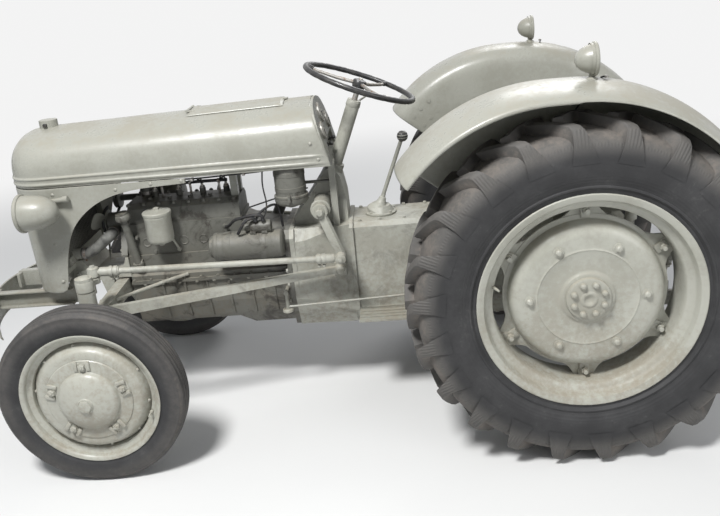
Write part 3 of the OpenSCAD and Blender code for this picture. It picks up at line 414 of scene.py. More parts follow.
bm = bmesh.new()
for z in (470, 540, 600, 680, 740):
    for x, way in ((1081, AHEAD), (1042, -AHEAD)):
        bolt(bm, (x, 163 if z < 720 else 150, z), way, 9, 9)
for x in range(1110, 1730, 72):
    bolt(bm, (x, 125, 571), -UP, 7, 7)
for x in (330, 420, 510, 600, 700, 780):
    bolt(bm, (x, 92, 765), UP, 8, 8)
for z in (430, 520, 610, 700):
    bolt(bm, (839, 126, z), AHEAD, 8, 8)
for x in (-170, -80, 10, 100, 190, 250):
    bolt(bm, (x, 112, 821), (0, 0.6, 0.8), 8, 8)
for at in around(8, 136, (0, 174, REAR_R), radians(22.5)):
    bolt(bm, at, LEFT, 9, 9)
mirrored(bm)
piece("casting_bolts", bm, casting)

# Rear wheels: a pressed steel disc carries six feet that clamp the wide dished rim, and the
# hub's flange is held by eight round-headed nuts. Rim and disc are rolled and pressed from plate.

wheel_paint = grey_paint("wheel_paint", 240.0, 0.12, gloss=0.32, dust=0.45, rust=0.12,
                         tone_and_shade=1.16)


def rear_rim(bm):
    half = [(380, 115), (377, 117), (371, 116), (356, 110), (352, 104), (349, 88), (346, 82),
            (338, 76), (326, 71), (321, 64), (319, 40), (319, 0)]
    inner = [(r + 5 if r < 360 else r + 3, h - (3 if h > 60 else 0)) for r, h in half[2:]]
    inner = [(380, 112), (375, 112)] + [(r, h) for r, h in inner if r < 372]
    turned(bm, doubled(half) + doubled(inner)[::-1] + [half[0]], REAR_MIDDLE, LEFT, steps=96)


def rear_disc(bm):
    profile = [(64, 63), (86, 62.5), (90, 60), (94, 56), (100, 55), (164, 57), (168, 58.5),
               (171, 60), (175, 58), (180, 57.5), (214, 58), (232, 56), (246, 50), (255, 41),
               (260, 30), (262.5, 16), (264, 6), (268, 3), (280, 2), (280, -5), (256, -5),
               (252, 14), (244, 34), (232, 44), (214, 49), (100, 47), (64, 52)]
    turned(bm, profile + [profile[0]], REAR_MIDDLE, LEFT, steps=96)
    for k in range(6):
        lobe = bmesh.new()
        corners = [(262, -82), (262, 82), (290, 52), (318, 36), (326, 30), (326, -30), (318, -36),
                   (290, -52)]
        plate(lobe, corners, -10, -1, 2.5)
        turn = Matrix.Translation(REAR_MIDDLE) @ Matrix.Rotation(radians(30 + 60 * k), 4, "Y")
        merge_in(bm, lobe, turn)


def rear_hub(bm):
    turned(bm, [(0, 72), (8, 72.5), (14, 76), (18, 79), (22, 80), (27, 78.5), (31, 76), (69, 76),
                (74.5, 73), (77, 67), (77, 54), (0, 54)], REAR_MIDDLE, LEFT, steps=64)
    for at in around(8, 55, REAR_MIDDLE + LEFT * 76, radians(22.5)):
        turned(bm, [(0, 13.5), (6, 13), (9.5, 10.5), (11.5, 6), (11.5, 0), (0, 0)], at, LEFT, 14)
    turned(bm, [(62, -165), (62, 10), (72, 50), (0, 50), (0, -165), (62, -165)],
           REAR_MIDDLE, LEFT, steps=40)
    turned(bm, [(0, -58), (172, -58), (180, -64), (181, -80), (184, -82), (184, -152),
                (180, -158), (170, -158), (168, -74), (0, -72)], REAR_MIDDLE, LEFT, steps=64)


def rear_bolts(bm):
    for at in around(6, 196, REAR_MIDDLE + LEFT * 57):
        turned(bm, [(0, 17), (7, 16), (11.5, 12), (12.5, 5), (18, 4), (18.5, 0), (0, 0)],
               at, LEFT, steps=16)
    for k, at in enumerate(around(6, 296, REAR_MIDDLE + LEFT * 4, pi / 6)):
        turn = Matrix.Translation(REAR_MIDDLE) @ Matrix.Rotation(-radians(30 + 60 * k), 4, "Y")
        foot = bmesh.new()
        block(foot, (262, -22, -26), (300, -2, 26), 5)
        block(foot, (296, -14, -22), (324, 4, 22), 6)
        block(foot, (268, -4, -17), (314, 10, 17), 5)
        merge_in(bm, foot, turn)
        bolt(bm, at + LEFT * 5, LEFT, 13, 15)
        turned(bm, [(0, 34), (8, 33), (8, 5), (0, 5)], at, LEFT, steps=12)


def rear_valve(bm):
    at = around(1, 330, REAR_MIDDLE + LEFT * 60, radians(12))[0]
    turned(bm, [(0, 46), (4, 46), (4.5, 40), (4, 34), (5, 30), (5, 8), (8, 4), (8, 0), (0, 0)],
           at, (-0.5, 1, -0.1), steps=12)


both_sides("rear_rim", rear_rim, wheel_paint, "rear_{}_wheel", node="rear_wheel_{}")
both_sides("rear_disc", rear_disc, wheel_paint, "rear_{}_wheel", crease=40)
both_sides("rear_hub", rear_hub, wheel_paint, "rear_{}_wheel")
both_sides("rear_bolts", rear_bolts, wheel_paint, "rear_{}_wheel")
both_sides("rear_valve", rear_valve, wheel_paint, "rear_{}_wheel")

# Rear tyres: a moulded rubber carcass with curved bars whose inner ends lead. Each bar runs
# out over the shoulder into a tapering buttress; rings are moulded in the sidewall.


def tyre_rubber(name, middle, width, fans):
    """Black rubber gone grey, with dried soil in the tread, fine rings on the sidewall and, as
    deep as fans says, the grooves that run down the outer ends of the bars."""
    finish, wire, place, shader = new_finish(name)
    radius = middle.z / 1000
    spot = wire.node("VectorMath", {"operation": "SUBTRACT"},
                     {0: place, 1: (middle.x / 1000 - MIDDLE, 0, radius)})
    x, y, z = (wire.node("SeparateXYZ", sockets={0: spot}, out=k) for k in range(3))
    out = (x * x + z * z) ** 0.5
    offset = y.sum("ABSOLUTE", y) - middle.y / 1000
    side = offset.sum("ABSOLUTE", offset)
    cloud = wire.noise(place, 7.0, 6.0, 0.65)
    fine = wire.noise(place, 60.0, 5.0, 0.7)
    tread = out.above(radius * 0.80, radius * 0.90)
    wall = side.above(width * 0.40, width * 0.475)
    colour = cloud.above(0.35, 0.7).mixed((0.024, 0.024, 0.025), (0.040, 0.040, 0.041))
    colour = (tread * (0.25 + fans * 0.65)).mixed(colour, (0.100, 0.096, 0.090))
    soil = (tread * (cloud * 0.6 + fine * 0.5).above(0.42, 0.72)
            * (1 - out.above(radius * 0.95, radius * 0.98) * 0.7) * (1 - wall * 0.8))
    colour = (soil * 0.8).mixed(colour, (0.185, 0.163, 0.142))
    scuff = (fine * 0.6 + cloud * 0.4).above(0.55, 0.68) * (1 - tread)
    colour = (scuff * 0.4).mixed(colour, (0.095, 0.093, 0.089))
    rings = wire.sum("SINE", out * (tau / 0.011)) * (1 - out.above(radius * 0.70, radius * 0.74))
    angle = wire.sum("ARCTAN2", z, x)
    rays = (wire.sum("SINE", angle * 330.0) * out.above(radius * 0.855, radius * 0.885)
            * side.above(width * 0.45, width * 0.465))
    bump = wire.bump(0.5, 0.0015, fine * 0.6 + rings * 0.25 + rays * fans)
    feed(finish, shader, {"Base Color": colour, "Normal": bump, "Specular IOR Level": 0.35,
                          "Roughness": 0.62 + soil * 0.3 + scuff * 0.1})
    return finish


def rear_carcass(bm):
    half = [(352, 97), (356, 104), (364, 109), (378, 111), (391, 112), (397, 118), (400, 122),
            (405, 122), (408, 120), (414, 122), (430, 131), (452, 136.5), (476, 138), (500, 137),
            (525, 133), (548, 124), (562, 113), (572, 92), (578, 66), (582, 34), (583, 0)]
    turned(bm, doubled(half) + [half[0]], REAR_MIDDLE, LEFT, steps=110)


# bars on each side, and each station of a bar: distance from the middle, crown radius, root
# radius, lag behind the leading end, and half its thickness
BARS = 22
BAR = [(-12, 617, 570, -4, 16), (12, 617, 570, 12, 17), (40, 616, 568, 36, 17.5),
       (70, 613, 563, 68, 18), (96, 609, 556, 96, 18.5), (116, 603, 548, 116, 19),
       (127, 590, 535, 125, 20.5), (133, 568, 520, 130, 26), (137, 546, 506, 134, 33),
       (139.2, 522, 496, 138, 40), (139.4, 500, 484, 141, 46)]


def rear_bars(bm):
    for side in SIDES:
        bar = bmesh.new()
        rings = []
        for y, top, root, lag, thick in BAR:
            corners = []
            for r, lean in ((root, -1.2), (top, -1), (top, 1), (root, 1.2)):
                a = -(lag + lean * thick) / REAR_R
                corners.append(bar.verts.new((r * sin(a), side * y, r * cos(a))))
            rings.append(corners)
        skin(bar, rings)
        bar.faces.new(rings[0])
        bar.faces.new(rings[-1][::-1])
        bmesh.ops.recalc_face_normals(bar, faces=bar.faces[:])
        ridges = [e for e in bar.edges
                  if any({e.verts[0], e.verts[1]} == {a[k], b[k]}
                         for a, b in zip(rings, rings[1:]) for k in (1, 2))]
        round_edges(bar, ridges, 2.5)
        bmesh.ops.rotate(bar, cent=(0, 0, 0), verts=bar.verts[:],
                         matrix=Matrix.Rotation(0 if side > 0 else pi / BARS, 3, "Y"))
        bmesh.ops.spin(bar, geom=whole(bar), axis=(0, 1, 0),
                       cent=(0, 0, 0), angle=tau * (BARS - 1) / BARS, steps=BARS - 1,
                       use_duplicate=True)
        merge_in(bm, bar, Matrix.Translation(REAR_MIDDLE))


rear_rubber = tyre_rubber("rear_tyre_rubber", REAR_MIDDLE, 0.275, 0.8)
both_sides("rear_carcass", rear_carcass, rear_rubber, "rear_{}_wheel",
           "rear_tyre_{}")
both_sides("rear_bars", rear_bars, rear_rubber, "rear_{}_wheel", crease=40)

# Front wheels: a narrow rim welded to a dished disc, a wide domed hub whose flange is held by
# five clamped nuts, and a three-ribbed tyre.


def front_rim(bm):
    half = [(257.5, 49), (255, 50), (250, 49), (243, 45), (240, 40), (238, 28), (232, 24),
            (220, 20), (217, 14), (216, 0)]
    inner = [(257, 46.5), (253, 46)] + [(r + 4, h - 3 if h > 16 else h) for r, h in half[3:]]
    turned(bm, doubled(half) + doubled(inner)[::-1] + [half[0]], FRONT_MIDDLE, LEFT, steps=80)


def front_disc(bm):
    profile = [(150, 44), (158, 45), (164, 45), (174, 45), (186, 43.5), (192, 40), (198, 33),
               (203, 24), (208, 14), (213, 6), (217, -2), (217, -6), (210, -6), (204, 8),
               (196, 24), (188, 36), (176, 39.5), (150, 38)]
    turned(bm, profile + [profile[0]], FRONT_MIDDLE, LEFT, steps=80)


def front_hub(bm):
    turned(bm, [(19, -51), (50, -51), (50, -20), (54, 6), (104, 28), (150, 34), (159, 36),
                (160, 46), (157, 49), (150, 50), (124, 50.5), (116, 52), (113.5, 55), (112, 60),
                (108, 66), (100, 72), (88, 78), (70, 84.5), (50, 89), (34, 91), (30, 92),
                (28, 94), (27, 97), (0, 97)], FRONT_MIDDLE, LEFT, steps=72)
    turned(bm, [(27, 92), (24, 103), (20, 104), (0, 104), (0, 92), (27, 92)], FRONT_MIDDLE,
           LEFT, steps=6)
    for k, at in enumerate(around(5, 137, FRONT_MIDDLE + LEFT * 50, radians(18))):
        bolt(bm, at + LEFT, LEFT, 13, 14)
        turned(bm, [(0, 19), (5, 18.5), (6, 16), (6, 6), (0, 6)], at, LEFT, steps=12)
        clip = bmesh.new()
        for low in (-30, 15):
            block(clip, (122, 47, low), (158, 58, low + 15), 3)
        block(clip, (128, 47, -16), (152, 52.5, 16), 2)
        merge_in(bm, clip, Matrix.Translation(FRONT_MIDDLE)
                 @ Matrix.Rotation(-radians(18 + 72 * k), 4, "Y"))
    for at in around(10, 207, FRONT_MIDDLE + LEFT * 16, radians(9)):
        turned(bm, [(0, 4.5), (3.5, 3.8), (6, 1.5), (6.5, -1), (0, -1)], at, LEFT, steps=10)


def front_valve(bm):
    at = around(1, 222, FRONT_MIDDLE + LEFT * 24, radians(200))[0]
    turned(bm, [(0, 34), (3.6, 34), (4, 26), (4.6, 22), (4.6, 4), (7, 2), (7, 0), (0, 0)],
           at, LEFT, steps=12)


def front_tyre(bm):
    half = [(245, 38), (247, 42), (252, 44), (262, 45.5), (268, 47), (272, 51), (276, 51.5),
            (281, 54), (290, 57), (300, 58), (312, 57), (322, 53.5), (324, 54.5), (328, 53.5),
            (330, 51), (336, 46.5), (341, 42), (343, 38), (342, 33), (339, 30), (334, 28.5),
            (334, 24.5), (340, 22.5), (343.5, 20), (344.5, 15), (344, 11), (341, 8.5), (336, 7.2),
            (336, 5.2), (341.5, 4.2), (345, 3), (345, 0)]
    turned(bm, doubled(half) + [half[0]], FRONT_MIDDLE, LEFT, steps=112)


front_rubber = tyre_rubber("front_tyre_rubber", FRONT_MIDDLE, 0.116, 0.0)
both_sides("front_rim", front_rim, wheel_paint, "front_{}_wheel", node="front_wheel_{}")
both_sides("front_disc", front_disc, wheel_paint, "front_{}_wheel", crease=50)
both_sides("front_hub", front_hub, wheel_paint, "front_{}_wheel")
both_sides("front_valve", front_valve, wheel_paint, "front_{}_wheel")
both_sides("front_tyre", front_tyre, front_rubber, "front_{}_wheel",
           "front_tyre_{}", crease=50)

# Hood and nose: pressed sheet steel with a raised band along the lower edge. The hood ends in a
# rounded nose; the nose panels arch back over the front axle and surround the grille. Both are
# bolted to the radiator and the dash.

sheet_paint = grey_paint("sheet_paint", 260.0, 0.10, gloss=0.27, dust=0.40, rust=0.10,
                         tone_and_shade=0.96)
HOOD_LOW, HOOD_HALF, NOSE_START = 1028, 218, 1960
HOOD_REAR, HOOD_TOP, HOOD_SLOPE = 931, 1264, radians(1.8)
HOOD_RISE = HOOD_TOP - HOOD_LOW
DASH_LEAN = 71  # how far the hood's rear edge runs back on its way down
NOSE_SQUARE = 0.77  # 1 gives an ellipse in plan, less a squarer nose


def crown_at(x):
    return HOOD_TOP - (x - HOOD_REAR) * sin(HOOD_SLOPE)


def round_nose(x_start, x_end, half, turn):
    """A point on the plan curve that closes the nose, turn being 0 at the side, 90 ahead."""
    a = radians(turn)
    return (x_start + (x_end - x_start) * sin(a) ** NOSE_SQUARE,
            half * cos(a) ** NOSE_SQUARE if turn < 90 else 0)


# rows up the hood: height above its edge, share of the half width, raised by, nose reaches to
HOOD_ROWS = [(0, 1, 0, 2150), (9, 1, 0, 2150), (12, 1, 7, 2150), (20, 1, 7, 2150),
             (23, 1, 3, 2150), (37, 1, 3, 2150), (40, 1, 7, 2150), (47, 1.002, 7, 2150),
             (50, 1.003, 0, 2150), (62, 1.008, 0, 2150), (92, 1.005, 0, 2148),
             (120, 0.985, 0, 2144), (144, 0.952, 0, 2138), (166, 0.90, 0, 2129),
             (186, 0.82, 0, 2118), (203, 0.70, 0, 2106), (217, 0.55, 0, 2092),
             (226, 0.385, 0, 2076), (232, 0.2, 0, 2058), (234.5, 0.1, 0, 2044), (236, 0, 0, 2030)]
SIDE_STOPS = (945, 990, 1042, 1130, 1225, 1320, 1408, 1480, 1600, 1720, 1840, 1910, 1960)
NOSE_TURNS = (10, 20, 30, 40, 50, 60, 70, 80, 90)


def sheet_grid(rows):
    """Joins rows of points into a surface."""
    bm = bmesh.new()
    made = [[bm.verts.new(p) for p in row] for row in rows]
    for a, b in zip(made, made[1:]):
        for k in range(len(a) - 1):
            bm.faces.new((a[k], a[k + 1], b[k + 1], b[k]))
    return bm


def cut_out(bm, within):
    """Deletes the faces whose middles lie within an opening."""
    gone = [f for f in bm.faces if within(f.calc_center_median())]
    bmesh.ops.delete(bm, geom=gone, context="FACES")


def finish_sheet(bm, name, thick, levels=1, body="chassis", merge=0.5):
    """Mirrors a drawn half, closes it down the middle, and gives the sheet its thickness."""
    mirrored(bm, merge)
    top = max(bm.faces, key=lambda f: f.calc_center_median().z)
    if top.normal.z < 0:
        bmesh.ops.reverse_faces(bm, faces=bm.faces[:])
    made = piece(name, bm, sheet_paint, body, crease=40)
    wall = made.modifiers.new("thickness", "SOLIDIFY")
    wall.thickness, wall.offset = thick * 0.001, -1
    fair = made.modifiers.new("fair", "SUBSURF")
    fair.levels = fair.render_levels = levels
    return made


rows = []
for rise, share, proud, reach in HOOD_ROWS:
    line = []
    back = HOOD_REAR - DASH_LEAN * (1 - rise / HOOD_RISE)
    for x in (back, back + 12) + SIDE_STOPS:
        z = HOOD_LOW + rise * (crown_at(x) - HOOD_LOW) / HOOD_RISE
        grow_in = min(1, max(0, (x - back - 4) / 30))
        line.append((max(x, back), HOOD_HALF * share + proud * grow_in, z))
    for turn in NOSE_TURNS:
        x, y = round_nose(NOSE_START, reach + proud * 0.6, HOOD_HALF * share + proud, turn)
        z = HOOD_LOW + rise * (crown_at(x) - HOOD_LOW) / HOOD_RISE
        line.append((x, y, z))
    rows.append(line)
bm = sheet_grid(rows)
cut_out(bm, lambda at: 1042 < at.x < 1408 and at.y < 84 and at.z > 1180)
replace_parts(finish_sheet(bm, "hood_panel", 2.5, 2), "hood")

# lid over the filler, a plate that follows the crown a little above it
lid = []
for y in (0, 20, 42, 62, 78, 88, 92):
    share = y / HOOD_HALF
    drop = 10 * (share / 0.385) ** 2
    lid.append([(x, y, crown_at(x) - drop + (8 if 1040 < x < 1410 and y < 90 else 2))
                for x in (1034, 1039, 1044, 1060, 1130, 1225, 1320, 1390, 1404, 1411, 1416)])
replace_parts(finish_sheet(sheet_grid(lid), "filler_lid", 1.6, 1, "hood_door_body"), "hood_door")
bm = bmesh.new()
turned(bm, [(0, -62), (5, -62), (5, 62), (0, 62)], (1418, 0, crown_at(1418) + 5), LEFT, steps=14)
block(bm, (1022, -13, crown_at(1030) + 2), (1046, 13, crown_at(1030) + 6), 1.5)
for y in (-48, 48):
    lump(bm, Vector((1402, y, crown_at(1400) + 2.75)), (18, 12, 2.25), 1.5)
    turned(bm, [(0, 4), (4, 3), (6, 0), (0, 0)], (1394, y, crown_at(1400) + 4.6), UP, steps=12)
piece("lid_hinge", bm, sheet_paint, "hood_door_body")

NOSE_SHARES = (0, 0.03, 0.078, 0.16, 0.28, 0.4, 0.52, 0.64, 0.76, 0.84, 0.895, 0.93, 0.97, 1)
ARCH = [(1418, 1007), (1500, 1004), (1608, 1000), (1682, 988), (1730, 975), (1768, 961),
        (1805, 941), (1838, 918), (1868, 891), (1892, 864), (1912, 830), (1926, 797),
        (1941, 748), (1953, 698), (1962, 645), (1970, 592)]
columns = [((x, HOOD_HALF), low) for x, low in ARCH]
columns += [(round_nose(1970, 2150, HOOD_HALF, turn), 590)
            for turn in (12, 24, 34, 43, 51, 58, 66, 74, 82, 90)]
rows = []
for share in NOSE_SHARES:
    line = []
    for (x, y), low in columns:
        z = 1026 + (low - 1026) * share
        tuck = 14 * (1026 - z) / 436 * max(0, (x - 1970) / 180)
        line.append((x - tuck, y, z))
    rows.append(line)
bm = sheet_grid(rows)
cut_out(bm, lambda at: at.y < 126 and 634 < at.z < 992 and at.x > 2080)
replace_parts(finish_sheet(bm, "nose_panel", 2.5), "nose_shell")
dress(sheet_paint, "grille", "dash_panel", "fuel_tank", "radiator", "air_cleaner", "fan",
      "oil_filter", "starter", "generator", "seat", "footrests", "pedals", "levers", "bumper")

# round-headed screws of the panels
bm = bmesh.new()
screw = [(0, 3.4), (3.5, 3), (6, 1.6), (7.5, 0), (8.5, 0), (8.5, -2), (0, -2)]
for x, z in ((1440, 1016), (1560, 1014), (1700, 1002), (1950, 1000), (1985, 640), (1985, 800),
             (905, 1058), (930, 1120)):
    turned(bm, screw, (x, 218 if x > 1000 else 220, z), LEFT, steps=12)
mirrored(bm)
piece("panel_screws", bm, sheet_paint)

# radiator cap: a pressed black cap with two ears on its neck
black_paint = speckled("black_cap_paint", (120.0, 4.0), (0.45, 0.7), (0.018, 0.018, 0.019),
                       (0.05, 0.045, 0.04), 0.38, 0.2)
bm = bmesh.new()
turned(bm, [(0, 1257), (8, 1257), (14, 1254), (26, 1253), (33, 1250), (35, 1245), (35, 1234),
            (30, 1232), (0, 1232)], (1998, 0, 0), UP, steps=40)
turned(bm, washer(22, 25, 1180, 1236), (1998, 0, 0), UP, steps=32)
for side in SIDES:
    lump(bm, Vector((1998, 37 * side, 1240.5)), (8, 7, 6.5), 2)
piece("radiator_cap", bm, black_paint)

# Rear fenders: one-piece steel shells with a rolled outer edge and a flat inner wall that is
# bolted to a bracket on the axle. A front and a rear arc are joined by a flat top.

FENDER_Z, FENDER_FRONT, FENDER_REAR = 690, 110, 40
FRONT_END, REAR_SWEEP = radians(38), radians(58)


def fender(bm):
    outline = [(348, 446), (480, 446), (566, 446.5), (590, 449), (608, 456), (622, 467),
               (633, 482), (640, 500), (645, 522), (648, 550), (648.5, 585), (646.5, 625),
               (641, 664), (633, 702), (624, 730), (614, 750), (608, 756), (601, 757),
               (596, 753), (596, 747), (601, 744)]
    verts = [bm.verts.new((FENDER_FRONT + r * cos(FRONT_END), y, FENDER_Z + r * sin(FRONT_END)))
             for r, y in outline]
    edges = [bm.edges.new(pair) for pair in zip(verts, verts[1:])]
    out = bmesh.ops.spin(bm, geom=verts + edges, axis=(0, -1, 0), cent=(FENDER_FRONT, 0, FENDER_Z),
                         angle=pi / 2 - FRONT_END, steps=22)["geom_last"]
    out = bmesh.ops.extrude_edge_only(bm, edges=only(out, bmesh.types.BMEdge))["geom"]
    bmesh.ops.translate(bm, vec=(FENDER_REAR - FENDER_FRONT, 0, 0),
                        verts=only(out, bmesh.types.BMVert))
    last = [e for e in only(out, bmesh.types.BMEdge)
            if all(abs(v.co.x - FENDER_REAR) < 1e-3 for v in e.verts)]
    bmesh.ops.spin(bm, geom=last + list({v for e in last for v in e.verts}), axis=(0, -1, 0),
                   cent=(FENDER_REAR, 0, FENDER_Z), angle=REAR_SWEEP, steps=24)


bm = bmesh.new()
fender(bm)
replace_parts(finish_sheet(bm, "fender_shells", 2.2, merge=0.01), "fenders")

# brackets and rivets that hold the fenders
bm = bmesh.new()
block(bm, (-76, 437, 815), (76, 445.5, 1075), 3)
block(bm, (-60, 429, 735), (60, 437.5, 830), 3)
for x in (-50, 0, 50):
    for z in (960, 1040):
        bolt(bm, (x, 449, z), LEFT, 9, 8)
for a in (42, 47, 52):
    for r in (500, 560):
        turned(bm, screw, around(1, r, (FENDER_FRONT, 446, FENDER_Z), radians(a))[0], LEFT, 12)
mirrored(bm)
piece("fender_brackets", bm, sheet_paint)

# Lamps: bullet-shaped steel shells with a glass held by a rim, on short stalks; two headlamps
# on the nose and two work lamps on the fenders that face back.

glass, wire, place, shader = new_finish("lamp_glass")
flute = wire.sum("SINE", wire.node("SeparateXYZ", sockets={0: place}, out=1) * (tau / 0.009))
feed(glass, shader, {"Base Color": (0.93, 0.94, 0.93), "Roughness": 0.06, "IOR": 1.5,
                     "Transmission Weight": 0.85,
                     "Normal": wire.bump(0.4, 0.001, flute)})
silver = speckled("lamp_reflector", (40.0, 3.0), None, (0.80, 0.80, 0.78), (0.66, 0.65, 0.62),
                  0.12, 0.12, {"Metallic": 1.0})


def draw_lamp(shell, pane, dish, at, way, scale, depth):
    """Adds a lamp's shell, glass and reflector; depth is how far the bullet reaches back."""

    def scaled(bm, profile, steps):
        turned(bm, [(r * scale, h * scale) for r, h in profile], at, way, steps)

    scaled(shell, [(0, -depth), (14, -depth + 1), (30, -depth + 8), (46, -depth + 24),
                   (58, -depth + 46), (66, -depth + 72), (70, -18), (70, -4), (74, -3), (76, 0),
                   (76, 8), (73, 12), (68, 12), (67, 6), (66, -6), (62, -depth + 76),
                   (0, -depth + 20)], 56)
    scaled(pane, [(0, 20), (20, 19), (40, 15.5), (58, 10), (67, 6), (67, 2), (40, 11), (0, 15)],
           48)
    scaled(dish, [(0, -44), (10, -42), (30, -34), (50, -18), (64, 0), (66, 0), (52, -22),
                  (30, -38), (10, -46), (0, -47)], 40)
    scaled(dish, [(0, -16), (7, -18), (9, -26), (7, -44), (0, -44)], 16)


shell, pane, dish = parts = bmesh.new(), bmesh.new(), bmesh.new()
draw_lamp(*parts, (2040, 300, 958), AHEAD, 0.98, 138)
draw_lamp(*parts, (-26, 600, 1396), -AHEAD, 0.70, 84)
turned(shell, [(0, 8), (16, 8), (19, 4), (19, 0), (14, -22), (13, -60), (0, -60)],
       (1974, 262, 952), LEFT, steps=20)
block(shell, (1948, 218, 918), (1998, 224, 982), 2.5)
for z in (930, 970):
    bolt(shell, (1973, 223, z), LEFT, 7, 6)
turned(shell, [(0, 0), (10, 0), (10, 52), (13, 54), (13, 70), (11, 73), (0, 74)],
       (1956, 232, 978), (-1, 0.08, 0.12), steps=16)
turned(shell, [(0, 24), (8, 24), (8, 8), (14, 4), (20, 0), (20, -3), (0, -3)],
       (-20, 600, 1336), UP, steps=20)
for part in parts:
    mirrored(part)
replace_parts(piece("lamp_shells", shell, sheet_paint), "lamps")
piece("lamp_glasses", pane, glass)
piece("lamp_reflectors", dish, silver)

# Engine: a four-cylinder side-valve engine. The head is held by two rows of nuts, the plugs stand
# in it, and the block's core holes are closed by pressed plugs. All of it is bolted or screwed.

# The engine's grey is darkened well below the other paint as painted shade, the shade under the
# hood, laid over real oil stains. The engine bolts, starter, oil filler, carburettor, generator
# and air cleaner carry this painted shade too.
engine_paint_painted_shade = grey_paint("engine_paint_painted_shade", 80.0, 0.5, gloss=0.45, dust=0.35, oil=0.85, rust=0.35,
                          tone_and_shade=0.42)
dress(engine_paint_painted_shade, "engine_block", "oil_pan")

bm = bmesh.new()
for x in range(1278, 1715, 62):
    for y in (-78, 76):
        turned(bm, [(0, 13), (4, 12.5), (5.5, 10), (9, 8.5), (9.5, 0), (0, 0)],
               (x, y, 892), UP, steps=12)
for x in (1300, 1385, 1470, 1555, 1640):
    bolt(bm, (x, 18, 899), UP, 8.5, 9)
turned(bm, [(0, 10), (18, 9), (26, 4), (30, 0), (0, 0)], (1668, -60, 899), UP, steps=24)
core_plug = [(19, 0), (19, 3), (17, 4), (14, 1.5), (0, 1)]
for x in (1295, 1420, 1500, 1655):
    turned(bm, core_plug, (x, 99, 742), LEFT, steps=24)
    turned(bm, core_plug, (x + 20, -99, 735), -LEFT, steps=24)
for x in (1325, 1625):
    for z in (700, 790):
        bolt(bm, (x, 100, z), LEFT, 8, 8)
block(bm, (1090, 98, 640), (1210, 107, 680), 3)
for x in (1102, 1150, 1198):
    bolt(bm, (x, 107, 660), LEFT, 7, 7)
for z, y in ((715, 98), (750, 72), (785, 50)):
    for side in SIDES:
        bolt(bm, (1766, side * y, z), AHEAD, 7, 6)
turned(bm, [(0, 16), (7, 15), (9, 8), (9, 0), (0, 0)], (1400, 50, 383), -UP, steps=14)
for x in range(1100, 1735, 70):
    for side in SIDES:
        bolt(bm, (x, side * 124, 586), UP, 6.5, 6)
piece("engine_bolts", bm, engine_paint_painted_shade)

# spark plugs with white insulators, and the leads that run from them into a loom tube
ceramic = speckled("plug_ceramic", (90.0, 4.0), (0.5, 0.75), (0.66, 0.64, 0.58),
                   (0.30, 0.26, 0.20), 0.22, 0, {"Coat Weight": 0.3})
lead_rubber = speckled("lead_rubber", (70.0, 5.0), (0.5, 0.75), (0.016, 0.016, 0.017),
                       (0.055, 0.048, 0.04), 0.5, 0.3)
bare_steel, wire, place, shader = new_finish("bare_steel")
scratch = wire.noise(place, 60.0, 6.0, 0.7)
rusty = scratch.above(0.5, 0.68)
feed(bare_steel, shader, {"Base Color": rusty.mixed((0.36, 0.35, 0.33), (0.17, 0.10, 0.06)),
                          "Metallic": 1 - rusty * 0.8, "Roughness": 0.32 + scratch * 0.35})
shells, whites, leads = bmesh.new(), bmesh.new(), bmesh.new()
for k in range(4):
    x = 1325 + 100 * k
    at = (x, -30, 921)
    turned(shells, [(0, 0), (13, 0), (13, 2), (11, 3), (11, 9), (8, 10), (0, 10)], at, UP, steps=6)
    turned(whites, [(0, 9), (7, 9), (6.6, 12), (5.8, 13), (6.2, 14.5), (5.4, 16), (5.8, 17.5),
                    (5, 19), (4.4, 24), (0, 24)], at, UP, steps=16)
    turned(leads, [(0, 20), (6, 20), (6.6, 22), (6.6, 30), (5, 33), (0, 34)], at, UP, steps=14)
    tube(leads, [(x, -30, 952), (x + 2, -27, 962), (x + 6, -12, 963), (x + 16, -12, 956)], 3.4,
         sides=8, bend=7)
tube(leads, [(1314, -12, 952), (1420, -12, 953), (1530, -12, 952), (1634, -12, 952)], 7, bend=20)
for x in (1350, 1470, 1590):
    turned(shells, washer(7.2, 8.6, -5, 5), (x, -12, 952.4), AHEAD, steps=16)
    block(shells, (x - 5, -14, 899), (x + 5, -11, 946), 1)
piece("plug_shells", shells, bare_steel)
piece("plug_insulators", whites, ceramic)
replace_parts(piece("plug_leads", leads, lead_rubber), "cables")

# Left of the engine: the oil filter canister, the starter with its switch and heavy cables, and
# the oil filler with its breather cap. Drawn steel cans and a machined motor body.

bm = bmesh.new()
x, y = 1573, 166
turned(bm, [(0, 762), (30, 762), (46, 766), (51, 772), (53, 780), (53, 866), (54, 868), (54, 872),
            (53, 875), (56, 877), (57, 880), (57, 888), (54, 891), (40, 893), (22, 896),
            (14, 898), (0, 898)], (x, y, 0), UP, steps=56)
bolt(bm, (x, y, 896), UP, 12, 10)
turned(bm, [(0, 764), (12, 763), (13, 752), (9, 748), (0, 748)], (x, y, 0), UP, steps=6)
block(bm, (x - 22, 101, 782), (x + 22, 118, 820), 3)
block(bm, (x - 14, 112, 770), (x + 14, 120, 870), 3)
for z in (790, 812):
    bolt(bm, (x - 15, 118, z), LEFT, 6, 6)
tube(bm, [(x - 30, 130, 770), (x - 42, 124, 740), (x - 48, 104, 706)], 5, sides=10, bend=18)
turned(bm, [(0, 0), (9, 0), (9, 9), (0, 9)], (x - 48, 99, 706), LEFT, steps=6)
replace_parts(piece("filter_canister", bm, grey_paint("canister_paint", 300.0, 0.08, gloss=0.3,
                                                    dust=0.2, rust=0.05, tone_and_shade=1.15),
                  "chassis"), "oil_filter")

